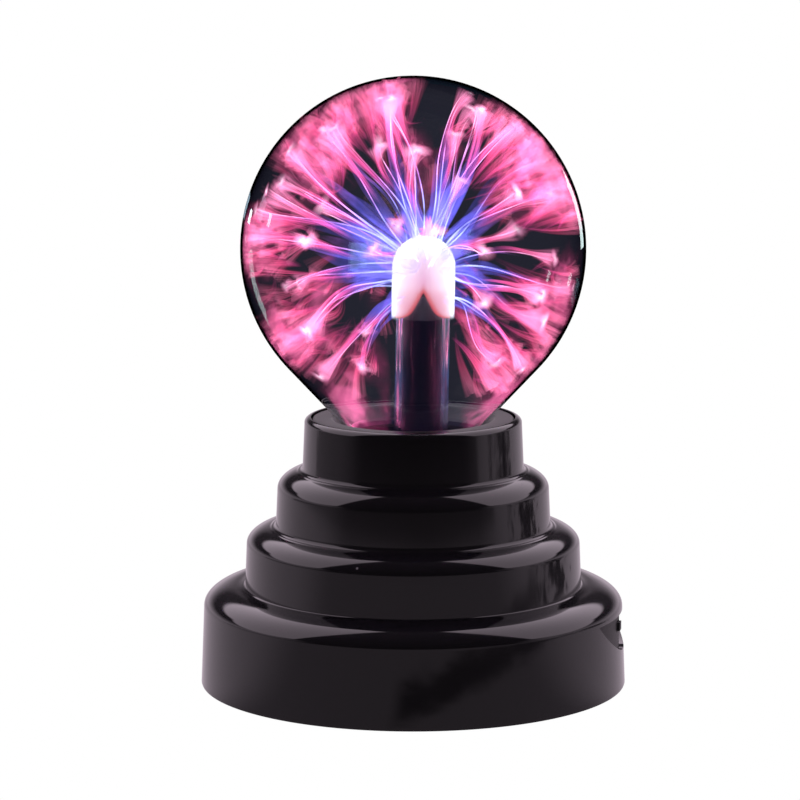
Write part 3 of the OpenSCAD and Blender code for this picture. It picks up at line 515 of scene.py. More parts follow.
# %% Outlines of the steps
DRAFT = math.tan(math.radians(2.4))
STEPS = [  # foot diameter, height, shoulder width and shoulder height
    (99.6 * MM, 22.8 * MM, 7.8 * MM, 4.4 * MM),
    (78.8 * MM, 13.9 * MM, 6.5 * MM, 3.8 * MM),
    (64.2 * MM, 13.6 * MM, 7.2 * MM, 4.4 * MM),
    (51.6 * MM, 12.4 * MM, 1.5 * MM, 1.2 * MM),
]
ARC = 20
EDGE = 0.12 * MM
wall = 2.0 * MM
rim_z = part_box("lower_housing")[0].z
tops = [rim_z + sum(step[1] for step in STEPS[:i + 1]) for i in range(len(STEPS))]
seam_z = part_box("upper_housing")[0].z


def wall_foot(radius, height, drop=0.3 * MM):
    """Point just above a wall's foot, so that its shading stays flat up to there."""
    return (radius - drop * DRAFT, height + drop)


COVE = 0.9 * MM
BEAD = 0.3 * MM


def cove(radius, height):
    """From a ledge up to a wall: a low bead, then a concave quarter round."""
    low = height + 0.12 * MM
    return ([(radius + COVE + BEAD, height), (radius + COVE + 0.2 * MM, height + 0.09 * MM),
             (radius + COVE + 0.06 * MM, low)]
            + [(radius + COVE * (1 - math.sin(math.pi / 2 * k / 6)),
                low + COVE * (1 - math.cos(math.pi / 2 * k / 6))) for k in range(7)])


def shoulder(step, inset=0.0, stop=0.0):
    """Quarter ellipse from a step's wall to its ledge, or until it reaches stop."""
    diameter, height, width, rise = STEPS[step]
    middle = diameter / 2 - (height - rise) * DRAFT - width
    share = min(1.0, max(0.0, (stop - middle) / (width - inset)))
    last = math.acos(share)
    below = 0.4 * MM
    return ([(middle + width - inset + below * DRAFT, tops[step] - rise - below)]
            + [(middle + (width - inset) * math.cos(last * k / ARC),
                tops[step] - rise + (rise - inset) * math.sin(last * k / ARC))
               for k in range(ARC + 1)])


print("ledges at", [round(top / MM, 2) for top in tops])

# %% Upper housing
mouth_r = ring_hi.x + 0.3 * MM
web_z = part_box("globe_cushion")[0].z
hole_r = neck_r + 0.3 * MM
foot_2 = STEPS[1][0] / 2
outer = [(foot_2 - EDGE, seam_z), (foot_2, seam_z + EDGE),
         wall_foot(foot_2, seam_z, 0.4 * MM)]
for step in (1, 2):
    foot_r = STEPS[step + 1][0] / 2
    outer += shoulder(step, 0.0, foot_r + COVE + BEAD)
    outer += cove(foot_r, outer[-1][1])[1:]
    outer += [wall_foot(foot_r, outer[-1][1])]
outer += shoulder(3)
inner = ([(foot_2 - wall, seam_z)]
         + shoulder(1, wall)
         + [(STEPS[2][0] / 2 - wall, tops[1] - wall)]
         + shoulder(2, wall)
         + [(STEPS[3][0] / 2 - wall, tops[2] - wall), (STEPS[3][0] / 2 - wall, web_z - wall),
            (hole_r, web_z - wall), (hole_r, web_z), (mouth_r, web_z)])
upper = lathe_mesh("upper_housing_shell", outer + inner[::-1], around=256, sharp=50)
upper_shell = new_piece("upper_housing_shell", upper, "base", "gloss_black",
                        ["upper_housing"], gloss)
print("upper housing", len(upper.polygons), "faces")

# %% [markdown]
# The lower housing has a window for the switch panel. The shell is turned first, and
# then the window's outline, an arc under a straight top edge, is cut through it.

# %% Lower housing
panel_angle = math.radians(-4)
panel_top = tops[0] - 5.0 * MM
panel_w, panel_h = 43.0 * MM, 9.2 * MM
panel_curve = ((panel_w / 2) ** 2 + panel_h ** 2) / (2 * panel_h)
band_r = foot_2 - 0.3 * MM
spigot_r = foot_2 - wall - 0.15 * MM
SPIGOT_H, SPIGOT_T = 3.0 * MM, 1.5 * MM  # the lip that centres the upper housing
shelf_r = 26.0 * MM
ledge = shoulder(0, 0.0, band_r + COVE + BEAD)
foot_1 = STEPS[0][0] / 2
outer = ([(foot_1 - 0.3 * MM, rim_z), (foot_1 - 0.08 * MM, rim_z + 0.08 * MM),
          (foot_1 - 0.01 * MM, rim_z + 0.3 * MM), wall_foot(foot_1, rim_z, 0.6 * MM)]
         + ledge + cove(band_r, ledge[-1][1])[1:]
         + [(band_r, seam_z), (spigot_r, seam_z),
            (spigot_r - SPIGOT_H * DRAFT, seam_z + SPIGOT_H)])
inner = ([(foot_1 - wall, rim_z)]
         + shoulder(0, wall)
         + [(shelf_r, tops[0] - wall), (shelf_r, tops[0]), (spigot_r - SPIGOT_T, tops[0]),
            (spigot_r - SPIGOT_T, seam_z + SPIGOT_H)])
lower = lathe_mesh("lower_housing_shell", outer + inner[::-1], around=256, sharp=50)
print("lower housing turned", len(lower.polygons), "faces")


# %% Window of the lower housing
def window_prism(name, near=30 * MM, far=60 * MM, steps=48):
    """The window's outline as a prism along X, turned to the panel's direction."""
    middle = panel_top - panel_h + panel_curve
    half = math.acos((panel_curve - panel_h) / panel_curve)
    rim = [(math.sin(a) * panel_curve, middle - math.cos(a) * panel_curve)
           for a in [half * (2 * k / steps - 1) for k in range(steps + 1)]]
    work = bmesh.new()
    near_ring = [work.verts.new((near, y, z)) for y, z in rim]
    far_ring = [work.verts.new((far, y, z)) for y, z in rim]
    work.faces.new(near_ring)
    work.faces.new(far_ring[::-1])
    count = len(rim)
    for k in range(count):
        j = (k + 1) % count
        work.faces.new([near_ring[k], near_ring[j], far_ring[j], far_ring[k]])
    mesh = to_mesh(work, name)
    turn = Vector((math.cos(panel_angle), math.sin(panel_angle)))
    for vertex in mesh.vertices:
        x, y, z = vertex.co
        vertex.co = (x * turn.x - y * turn.y, x * turn.y + y * turn.x, z)
    return mesh


def cut(mesh, tool_mesh):
    """Cuts the tool out of the mesh and gives the result as a plain mesh."""
    target = bpy.data.objects.new("cut_target", mesh)
    tool = bpy.data.objects.new("cut_tool", tool_mesh)
    for item in (target, tool):
        scene.collection.objects.link(item)
    modifier = target.modifiers.new("cut", "BOOLEAN")
    modifier.object = tool
    modifier.solver = "EXACT"
    modifier.operation = "DIFFERENCE"
    bpy.context.view_layer.update()
    result = bpy.data.meshes.new_from_object(
        target.evaluated_get(bpy.context.evaluated_depsgraph_get()))
    for item in (target, tool):
        bpy.data.objects.remove(item)
    return result


lower = cut(lower, window_prism("window"))
lower.name = "lower_housing_shell"
lower.shade_smooth()
lower.set_sharp_from_angle(angle=math.radians(50))
lower_shell = new_piece("lower_housing_shell", lower, "base", "gloss_black",
                        ["lower_housing"], gloss)
print("lower housing", len(lower.polygons), "faces")

# %% [markdown]
# ## Seat ring
# A hard satin ring closes the collar round the glass. Its top is slightly domed and
# it stands a hair below the collar's rim, which leaves a thin dark groove.

# %% Seat ring
ring_mat, tree, shader = finish("satin_ring_plastic", (0.035, 0.033, 0.037), 0.28)
tint(tree, shader, grain(tree, 60, 3.0), (0.022, 0.021, 0.024), (0.048, 0.045, 0.05))
relief(tree, shader, grain(tree, 900, 2.0), 0.00003)
ring_out = ring_hi.x
ring_in = 18.5 * MM
outline = rounded([(ring_out, ring_lo.z), (ring_out, ring_hi.z - 0.1 * MM),
                   (ring_out - 1.2 * MM, ring_hi.z), (ring_in + 0.6 * MM, ring_hi.z),
                   (ring_in, ring_hi.z - 0.4 * MM), (neck_r + 0.8 * MM, ring_lo.z)],
                  [0, 0.5 * MM, 0.5 * MM, 0.4 * MM, 0.4 * MM, 0])
ring = new_piece("seat_ring", lathe_mesh("seat_ring", outline, around=192), "base",
                 "ring_black", ["retaining_ring"], ring_mat)

# %% [markdown]
# ## Glass
# The globe is one closed body of glass: an outer skin, an inner skin close below it,
# and a neck open at the foot. A single thin sphere would not bend light at
# its edge, and it is the bent light that draws the globe's dark outline. The glass
# is a little green, as soda glass is where one looks along it.

# %% Globe
GLASS_IOR = 1.47


def globe_skin(radius, neck, foot, steps=72):
    """Half outline from the neck's foot, up the cone and round to the top."""
    slope = math.radians(43)  # of the cone, from the upright
    cone_foot = (centre.z - radius * math.sin(slope)
                 - (radius * math.cos(slope) - neck) / math.tan(slope))
    line = [(neck, foot), (neck, cone_foot - 0.8 * MM), (neck + 0.25 * MM, cone_foot)]
    cone_end = (radius * math.cos(slope), centre.z - radius * math.sin(slope))
    for k in range(1, 10):
        t = k / 10
        line.append((neck + (cone_end[0] - neck) * t, cone_foot + (cone_end[1] - cone_foot) * t))
    for k in range(steps + 1):
        a = math.pi / 2 + slope - (math.pi / 2 + slope) * k / steps
        line.append((radius * math.sin(a), centre.z + radius * math.cos(a)))
    return line


outside = globe_skin(globe_r, neck_r, globe_lo.z)
inside = globe_skin(globe_r - glass_t, neck_r - glass_t, globe_lo.z)
outside[-1] = (0.0, outside[-1][1])
inside[-1] = (0.0, inside[-1][1])
globe_mesh = lathe_mesh("globe_glass_body", outside + inside[::-1], around=192, sharp=50)
glass, tree, shader = finish("soda_glass", (0.90, 0.98, 0.97), 0.0,
                             Transmission_Weight=1.0, IOR=GLASS_IOR)
relief(tree, shader, grain(tree, 30, 1.0), 0.00002)
globe_piece = new_piece("globe_glass_body", globe_mesh, "base", "clear_glass",
                        ["globe_glass"], glass)

# %% Stem
for name in ("stem_tube", "exhaust_tip"):
    material, tree, shader = finish(name + "_glass", (0.95, 0.98, 1.0), 0.02,
                                    Transmission_Weight=1.0, IOR=GLASS_IOR)
    relief(tree, shader, grain(tree, 60, 2.0), 0.00004)
    nodes[name].data.materials.clear()
    nodes[name].data.materials.append(material)
    nodes[name].data.shade_smooth()

# %% [markdown]
# ## The discharge: light in the gas
# A streamer is a thin hot thread in the gas. It leaves the electrode white and
# violet, cools to pink on its way, and opens like a brush where it meets the glass.
# Solid tubes would look like wire. Each streamer is drawn instead as a bundle of
# closed blades with a lens-shaped section: the blade glows along its middle and
# fades to nothing at its edges, and blades cross, so that there is a broad side to
# see from everywhere.

# %% Colours of the discharge
VIOLET = (0.17, 0.14, 0.95)
LILAC = (0.42, 0.15, 0.80)
PINK = (1.0, 0.10, 0.32)
ROSE = (1.0, 0.25, 0.50)


def gas_light(name, strength, stops, alpha_of, by="along"):
    """Glowing gas: black where it is solid, lit by emission, faded by alpha."""
    material, tree, shader = finish(name, (0, 0, 0), 1.0, Specular_IOR_Level=0.0,
                                    Emission_Strength=strength)
    place = attribute(tree, by)
    if by == "across":
        place = plus(tree, times(tree, place, 0.5), 0.5)
    tree.links.new(ramp(tree, place, stops), shader.inputs["Emission Color"])
    tree.links.new(alpha_of(tree), shader.inputs["Alpha"])
    return material


def blade_alpha(power, peak, rim=0.0, scale=220, low=0.35, streaks=0.0):
    """Alpha of a blade: nothing at its edges; rim lifts the zone beside its edges, and
    fine noise breaks it into wisps that are never weaker than low. With streaks the
    wisps are drawn out along the blade."""
    def build(tree):
        across = attribute(tree, "across")
        square = times(tree, across, across)
        side = minus(tree, 1.0, square, clamp=True)
        side = calc(tree, "POWER", side, power)
        lift = plus(tree, 1.0, times(tree, square, rim))
        if streaks:
            slow = add(tree, "ShaderNodeVectorMath", {0: position(tree), "Scale": scale},
                       operation="SCALE").outputs[0]
            shift = add(tree, "ShaderNodeCombineXYZ",
                        {"X": times(tree, across, streaks)}).outputs[0]
            drawn = add(tree, "ShaderNodeVectorMath", {0: slow, 1: shift},
                        operation="ADD").outputs[0]
            cloud = grain(tree, 1.0, 3.0, 0.55, drawn)
        else:
            cloud = grain(tree, scale, 3.0)
        wisps = remap(tree, cloud, 0.37, 0.63, low, 1.0)
        level = times(tree, times(tree, side, lift), attribute(tree, "glow"))
        level = times(tree, level, wisps)
        return times(tree, level, peak, clamp=True)
    return build


thread_mat = gas_light("streamer_thread_light", 4.2,
                       [(0.0, (0.55, 0.6, 1.0)), (0.3, (0.30, 0.28, 1.0)),
                        (0.55, (0.75, 0.22, 0.75)), (0.85, (1.0, 0.42, 0.66))],
                       blade_alpha(1.5, 0.7, scale=120, low=0.15))
blue_mat = gas_light("blue_veil_light", 3.6,
                     [(0.0, (0.3, 0.25, 1.0)), (0.12, VIOLET), (0.38, VIOLET), (0.58, LILAC),
                      (0.85, (0.8, 0.2, 0.6))],
                     blade_alpha(0.9, 0.15, rim=3.0, scale=110, low=0.25))
pink_mat = gas_light("pink_veil_light", 3.9,
                     [(0.40, LILAC), (0.55, (0.9, 0.10, 0.45)), (0.75, PINK), (0.95, ROSE)],
                     blade_alpha(1.0, 0.30, rim=0.8, scale=40, low=0.10, streaks=3.2))


# %% Paths of the streamers
ROOT_SPAN = 13.5 * MM  # how far down the electrode's side streamers may start


def capsule_point(aim):
    """Point on the electrode where a streamer starts, and the direction out of it. One
    that points to the front or the back starts on the dome."""
    level = min(dome_z, max(dome_z - ROOT_SPAN, centre.z + aim.z * 14 * MM))
    if abs(aim.y) > 0.6:
        level = dome_z
    axis = Vector((stem_axis_x, 0, level))
    out = centre + aim * globe_r * 0.8 - axis
    if level < dome_z:
        out.z *= 0.25
    out.normalize()
    return axis + out * (stem_r + 0.05 * MM), out


def random_vector(chance, size=1.0):
    """A vector with each part between -size and size."""
    return Vector([chance.uniform(-size, size) for _ in range(3)])


def streamer_path(aim, chance, spread, curls, part=(0.0, 1.0), points=26):
    """Smooth path from the electrode to the glass, or a part of it. The two curls
    belong to the whole bundle; the small wander belongs to this path alone."""
    start, out = capsule_point(aim)
    jitter = random_vector(chance) * spread
    start = start + (jitter - out * jitter.dot(out)) * 1.4
    end_dir = (aim + jitter * (0.8 / globe_r)).normalized()
    end = centre + end_dir * (globe_r - glass_t - 0.5 * MM)
    span = (end - start).length
    first = start + ((out + Vector((0, 0, 0.15))).normalized() * 0.36 + curls[0]) * span
    second = end + (curls[1] - end_dir * 0.38) * span
    waves = [(chance.uniform(0.8, 2.6), chance.uniform(0, 6.28), chance.uniform(0.2, 0.8) * MM)
             for _ in range(3)]
    line = []
    for k in range(points):
        t = part[0] + (part[1] - part[0]) * k / (points - 1)
        u = 1 - t
        point = (start * u ** 3 + first * (3 * u * u * t)
                 + second * (3 * u * t * t) + end * t ** 3)
        swell = math.sin(math.pi * t)
        shake = Vector([size * math.sin(rate * t * 3 + phase) for rate, phase, size in waves])
        line.append((point + shake * swell, t))
    return line


def paths_mesh(name, lines):
    """Many polylines in one mesh. Each point knows its place along the streamer, its
    width, its glow and its twist; the last three are functions of the share of the
    line that has passed."""
    points, edges = [], []
    values = {"along": [], "width": [], "glow": [], "twist": []}
    for line, width_of, glow_of, twist in lines:
        base = len(points)
        for k, (point, t) in enumerate(line):
            share = k / (len(line) - 1)
            points.append(point)
            values["along"].append(t)
            values["width"].append(width_of(share))
            values["glow"].append(glow_of(share))
            values["twist"].append(twist[0] + twist[1] * share)
            if k:
                edges.append((base + k - 1, base + k))
    return values_mesh(name, points, edges, [], values)


# %% Geometry tree that turns paths into blades
def geometry_tree(name, sizes):
    """An empty geometry tree with named inputs for its sizes."""
    tree = bpy.data.node_groups.new(name, "GeometryNodeTree")
    tree.interface.new_socket("Geometry", in_out="INPUT", socket_type="NodeSocketGeometry")
    for label, value in sizes.items():
        kind = {int: "NodeSocketInt", float: "NodeSocketFloat"}.get(type(value),
                                                                  "NodeSocketMaterial")
        socket = tree.interface.new_socket(label, in_out="INPUT", socket_type=kind)
        socket.default_value = value
    tree.interface.new_socket("Geometry", in_out="OUTPUT", socket_type="NodeSocketGeometry")
    entry = tree.nodes.new("NodeGroupInput").outputs
    return tree, entry


def close_tree(tree, entry, geometry):
    """Ends a tree in real geometry with its material."""
    real = add(tree, "GeometryNodeRealizeInstances", {0: geometry}).outputs[0]
    named = add(tree, "GeometryNodeSetMaterial", {0: real, 2: entry["Material"]}).outputs[0]
    add(tree, "NodeGroupOutput", {0: named})


def grow(tree, source, name, **inputs):
    """Runs a geometry tree on a mesh and gives its result as a plain mesh."""
    holder = bpy.data.objects.new(name + "_source", source)
    scene.collection.objects.link(holder)
    modifier = holder.modifiers.new("grow", "NODES")
    modifier.node_group = tree
    sockets = {item.name: item.identifier for item in tree.interface.items_tree
               if item.in_out == "INPUT"}
    for key, value in inputs.items():
        modifier[sockets[key.replace("_", " ")]] = value
    bpy.context.view_layer.update()
    mesh = bpy.data.meshes.new_from_object(
        holder.evaluated_get(bpy.context.evaluated_depsgraph_get()))
    holder.modifiers.clear()
    bpy.data.objects.remove(holder)
    mesh.name = name
    mesh.shade_smooth()
    print(name, len(mesh.polygons), "faces")
    return mesh


def stored(tree, name):
    """A value stored on the points, inside a geometry tree."""
    return add(tree, "GeometryNodeInputNamedAttribute", {"Name": name},
               data_type="FLOAT").outputs[0]


def blade_tree(material):
    """Geometry tree that sweeps a star of lens-shaped blades along each path."""
    tree, entry = geometry_tree("blades_along_paths",
                                {"Blades": 2, "Thickness": 0.12, "Material": material})
    lens = add(tree, "GeometryNodeCurvePrimitiveCircle", {"Resolution": 8, "Radius": 1.0})
    place = add(tree, "GeometryNodeInputPosition").outputs[0]
    across = add(tree, "ShaderNodeSeparateXYZ", {0: place}).outputs["X"]
    lens = add(tree, "GeometryNodeStoreNamedAttribute",
               {0: lens.outputs[0], "Name": "across", "Value": across},
               data_type="FLOAT", domain="POINT").outputs[0]
    flat = add(tree, "ShaderNodeCombineXYZ", {0: 1.0, 1: entry["Thickness"], 2: 1.0}).outputs[0]
    lens = add(tree, "GeometryNodeTransform", {0: lens, "Scale": flat}).outputs[0]
    star = add(tree, "GeometryNodeMeshLine", {"Count": entry["Blades"],
                                             "Offset": (0, 0, 0)}).outputs[0]
    step = calc(tree, "DIVIDE", math.pi, entry["Blades"])
    number = add(tree, "GeometryNodeInputIndex").outputs[0]
    turn = add(tree, "ShaderNodeCombineXYZ", {2: times(tree, number, step)}).outputs[0]
    star = add(tree, "GeometryNodeInstanceOnPoints",
               {"Points": star, "Instance": lens, "Rotation": turn}).outputs[0]
    star = add(tree, "GeometryNodeRealizeInstances", {0: star}).outputs[0]
    curve = add(tree, "GeometryNodeMeshToCurve", {0: entry["Geometry"]}).outputs[0]
    curve = add(tree, "GeometryNodeSetCurveTilt",
                {"Curve": curve, "Tilt": stored(tree, "twist")}).outputs[0]
    blades = add(tree, "GeometryNodeCurveToMesh",
                 {"Curve": curve, "Profile Curve": star, "Scale": stored(tree, "width"),
                  "Fill Caps": True}).outputs[0]
    close_tree(tree, entry, blades)
    return tree


blades = blade_tree(thread_mat)


def light_piece(name, lines, count, thickness, material):
    """A piece of the discharge: a star of count blades along each of many lines."""
    mesh = grow(blades, paths_mesh(name + "_paths", lines), name,
                Blades=count, Thickness=thickness, Material=material)
    return new_piece(name, mesh, "base", "discharge", [])


# %% [markdown]
# The main streamers are placed one by one, by the direction in which each meets the
# glass: an angle round the front view, and how far it turns towards the viewer or
# away. The others are spread over the rest of the globe with a fixed seed.

# %% Directions of the streamers
GOLDEN = math.pi * (3 - math.sqrt(5))


def heading(angle, depth):
    """Direction from an angle in the front view and a turn towards the front."""
    a, d = math.radians(angle), math.radians(depth)
    return Vector((math.cos(a) * math.cos(d), -math.sin(d), math.sin(a) * math.cos(d)))


def spread_direction(k, count, low):
    """One of count directions spread evenly over the globe, down to height low."""
    z = 1 - (1 - low) * (k + 0.5) / count
    a = GOLDEN * k
    return Vector((math.cos(a) * math.sqrt(1 - z * z), math.sin(a) * math.sqrt(1 - z * z), z))


MAIN = [  # angle in the front view, turn towards the front, strength
    (149, 28, 1.0), (160, -20, 0.9), (139, 19, 1.0), (129, -31, 0.9), (121, 27, 1.0),
    (103, -28, 1.0), (98, 22, 1.4), (88, 48, 1.0), (70, -14, 1.0), (66, 20, 1.1),
    (49, -21, 1.2), (19, 51, 0.8), (12, 66, 1.0), (60, 76, 0.9), (18, -28, 0.8),
    (176, 11, 0.9), (168, -14, 0.8), (-14, 40, 1.1), (-9, -30, 0.8),
    (-24, 34, 0.7), (-46, 24, 1.0), (-56, -25, 0.8), (-170, 48, 0.9),
    (-147, 44, 1.1), (-139, -30, 0.9), (-128, 30, 0.8), (-112, -32, 0.6), (155, 75, 0.9),
    (112, 74, 0.8), (166, 50, 0.7), (67, -48, 0.8), (35, 44, 0.9), (110, -55, 0.7),
]
chance = random.Random(11)
aims = [(heading(angle, depth), strength) for angle, depth, strength in MAIN]
EXTRA = 30
for k in range(EXTRA):
    aim = spread_direction(k, EXTRA, -0.75)
    if aim.y > 0.05 and all(aim.angle(other) > 0.25 for other, _ in aims):
        aims.append((aim, chance.uniform(0.4, 0.8)))
print(len(aims), "streamers")


# %% Streamers
def fade(share, start, end):
    """1 in the middle of a line, 0 at its ends."""
    return max(0.0, min(1.0, share / start, (1 - share) / end))


def thread_width(share):
    """Thickest at the electrode."""
    return (0.19 + 0.16 * (1 - share) ** 3) * MM


def veil_width(scale):
    """Narrow at the root, widest before the middle, narrow again."""
    return lambda share: (0.45 + 1.7 * math.sin(math.pi * share ** 0.8)) * scale * MM


def flare_width(scale):
    """Narrow stalk that opens like a trumpet over the last third, at the glass."""
    def width(share):
        mouth = max(0.0, (share - 0.66) / 0.34) ** 1.7
        return (0.5 + 0.7 * share + 2.8 * mouth) * scale * MM
    return width


def thread_glow(level):
    """Strong from the electrode on, a little weaker towards the glass."""
    return lambda share: level * (1 - 0.4 * share) * fade(share, 0.01, 0.1)


def veil_glow(level):
    """Strong at the electrode, gone at the veil's end."""
    return lambda share: level * fade(share, 0.02, 0.75)


def flare_glow(level):
    """Comes up slowly, and is strongest just before the glass."""
    return lambda share: level * fade(share, 0.5, 0.07) * (0.55 + 0.45 * share)


threads, blues, flares = [], [], []
for aim, strength in aims:
    curls = (random_vector(chance, 0.15), random_vector(chance, 0.17))
    for k in range(2 if strength > 0.95 else 1):
        line = streamer_path(aim, chance, 0.9 * MM, curls)
        level = strength * chance.uniform(0.35, 1.0)
        threads.append((line, thread_width, thread_glow(level), (0, 0)))
    for k in range(3):
        reach = (0.45, 0.65, 0.92)[k] * chance.uniform(0.8, 1.05)
        line = streamer_path(aim, chance, 1.3 * MM, curls, (0.0, reach))
        level = strength * chance.uniform(0.5, 1.0)
        blues.append((line, veil_width(chance.uniform(0.4, 1.2)), veil_glow(level),
                      (chance.uniform(0, 3.1), chance.uniform(-1.6, 1.6))))
    for k in range(2):
        line = streamer_path(aim, chance, 1.0 * MM, curls, (chance.uniform(0.25, 0.45), 1.0))
        level = strength * chance.uniform(0.5, 1.0)
        flares.append((line, flare_width(chance.uniform(0.5, 1.2)), flare_glow(level),
                       (chance.uniform(0, 3.1), chance.uniform(-1.2, 1.2))))
PLUMES = 3  # short plumes that stand on the dome
plume_foot = Vector((stem_axis_x + 1.2 * MM, 0, liner_hi.z + 0.5 * MM))
for k in range(PLUMES):
    tip = Vector((chance.uniform(-0.6, 0.6) * MM, chance.uniform(-0.6, 0.6) * MM, 6.5 * MM))
    line = [(plume_foot + tip * (j / 8), 0.95) for j in range(9)]
    flares.append((line, lambda share: (1.4 * (1 - share) + 0.25) * MM,
                   lambda share: 2.2 * fade(share, 0.05, 0.6), (k, 0)))
streamers = light_piece("streamer_threads", threads, 2, 0.3, thread_mat)
blue_veils = light_piece("blue_veils", blues, 1, 0.10, blue_mat)
pink_veils = light_piece("pink_veils", flares, 2, 0.10, pink_mat)

# %% [markdown]
# Each foot ends in a soft patch of light that lies against the glass. It is a flat
# closed lens with an uneven outline, bright in its middle and clear at its edge.

# %% Feet of the streamers
foot_mat = gas_light("streamer_foot_light", 4.6,
                     [(0.0, (1.0, 0.78, 0.92)), (0.4, (1.0, 0.42, 0.66)), (0.8, ROSE), (1.0, PINK)],
                     blade_alpha(1.6, 0.42, scale=90, low=0.4), by="radius")
points, faces, across, glow = [], [], [], []
AROUND = 20
HALF_LENS = 0.05 * MM
for line, width_of, glow_of, twist in flares[:-PLUMES]:
    end = line[-1][0]
    out = (end - centre).normalized()
    side = out.orthogonal().normalized()
    size = chance.uniform(1.0, 2.8) * MM
    level = glow_of(0.9) * chance.uniform(0.4, 1.0)
    two, three = chance.uniform(0, 2 * math.pi), chance.uniform(0, 2 * math.pi)
    base = len(points)
    points += [end + out * HALF_LENS, end - out * HALF_LENS]
    for k in range(AROUND):
        a = 2 * math.pi * k / AROUND
        reach = size * (1 + 0.38 * math.sin(2 * a + two) + 0.24 * math.sin(3 * a + three))
        points.append(end + (side * math.cos(a) + out.cross(side) * math.sin(a)) * reach
                      - out * reach * reach / (2 * globe_r))
    across += [0.0, 0.0] + [1.0] * AROUND
    glow += [level] * (AROUND + 2)
    for k in range(AROUND):
        here, following = base + 2 + k, base + 2 + (k + 1) % AROUND
        faces += [(base, here, following), (base + 1, following, here)]
feet_mesh = values_mesh("streamer_feet", points, [], faces,
                        {"across": across, "radius": across, "glow": glow})
feet_mesh.shade_smooth()
feet = new_piece("streamer_feet", feet_mesh, "base", "discharge", [], foot_mat)
print(len(flares) - PLUMES, "feet")

# %% [markdown]
# ## Brush light near the glass
# Where streamers meet the glass, the gas lights up in soft pink brushes that point
# outwards. They fill most of the outer part of the globe, so they are grown on points
# spread over it, with a fixed seed, and they fade towards the middle. The gas stays
# dark in a few places that no streamer has reached, and glows strongly in others.

# %% Brushes
PATCHES = [  # across, up, reach and strength, in shares of the globe's radius
    (0.17, 0.84, 0.24, -2.0), (0.72, 0.04, 0.22, -1.4), (-0.55, -0.12, 0.20, -1.6),
    (-0.74, 0.38, 0.16, -1.2), (-0.19, 0.48, 0.22, -1.4), (0.50, -0.40, 0.18, -1.2),
    (-0.17, -0.72, 0.14, -1.0), (0.30, -0.70, 0.12, -1.0), (0.30, 0.42, 0.20, -1.2),
    (0.0, 0.0, 0.42, -1.5), (-0.28, -0.10, 0.22, -1.6),
    (0.06, -0.40, 0.24, -2.5), (0.06, -0.60, 0.22, -2.5), (0.06, -0.80, 0.20, -2.5),
    (-0.90, 0.05, 0.24, 1.0), (-0.72, -0.58, 0.26, 0.9), (0.78, -0.50, 0.26, 1.0),
    (0.62, 0.68, 0.22, 1.1), (-0.48, 0.76, 0.20, 0.8), (-0.12, 0.90, 0.16, 1.0),
    (0.84, 0.32, 0.24, 0.8), (-0.30, -0.86, 0.20, 0.7), (0.45, -0.80, 0.20, 0.7),
    (-0.80, 0.55, 0.18, 0.6), (0.25, 0.62, 0.12, 0.8),
]


def patch_level(aim):
    """How strongly the gas glows in a direction."""
    level = 0.22 + 1.3 * noise.noise(aim * 2.6 + Vector((3.1, 0.4, 7.7)))
    for across, up, reach, strength in PATCHES:
        near = 1 - math.hypot(aim.x * 0.93 - across, aim.z * 0.93 - up) / reach
        level += strength * max(0.0, near) ** 0.7
    return max(0.0, level)


brush_mat = gas_light("brush_light", 5.0,
                      [(0.0, (0.6, 0.04, 0.28)), (0.6, (1.0, 0.085, 0.25)), (1.0, (1.0, 0.22, 0.42))],
                      blade_alpha(1.1, 0.20, scale=50, low=0.03, streaks=4.2))


def brush_width(size):
    """Widens steadily towards the glass."""
    return lambda share: size * MM * (0.15 + 0.85 * share ** 1.3)


def brush_glow(level):
    """Comes up over most of the brush and drops at its very end."""
    return lambda share: level * min(1, share / 0.7) * (1 if share < 0.99 else 0.5)


BRUSHES, SHORT_BRUSHES = 480, 520
FAINTEST = 0.08
brushes = []
for k in range(BRUSHES + SHORT_BRUSHES):
    short = k >= BRUSHES
    number, count = (k - BRUSHES, SHORT_BRUSHES) if short else (k, BRUSHES)
    aim = spread_direction(number, count, -0.80)
    aim = (aim + random_vector(chance, 0.10)).normalized()
    level = chance.uniform(0.3, 1.0) * min(1.5, patch_level(aim))
    if level < FAINTEST:
        continue
    inner_r = globe_r * (chance.uniform(0.80, 0.90) if short else chance.uniform(0.52, 0.80))
    outer_r = globe_r - glass_t - (0.2 if short else 0.4) * MM
    sway = random_vector(chance, 4 * MM)
    curve = random_vector(chance, (0.6 if short else 2.0) * MM)
    line = []
    for j in range(9):
        t = j / 8
        point = (centre + aim * (inner_r + (outer_r - inner_r) * t) + sway * (1 - t) ** 2
                 + curve * math.sin(math.pi * t))
        if (point - centre).length > outer_r:
            point = centre + (point - centre).normalized() * outer_r
        line.append((point, t))
    size = chance.uniform(0.9, 2.2) if short else chance.uniform(1.4, 4.2)
    brushes.append((line, brush_width(size), brush_glow(level),
                    (chance.uniform(0, 3.1), chance.uniform(-0.8, 0.8))))
brush_piece = light_piece("brush_veils", brushes, 2, 0.12, brush_mat)

# %% Gas skin: the dim gas against the glass
def gas_wall(gap):
    """Half outline of a wall of gas, a gap away from the glass."""
    line = globe_skin(globe_r - glass_t - gap, neck_r - glass_t - gap, ring_hi.z - 2 * MM)
    return line[:-1] + [(0.0, line[-1][1])]


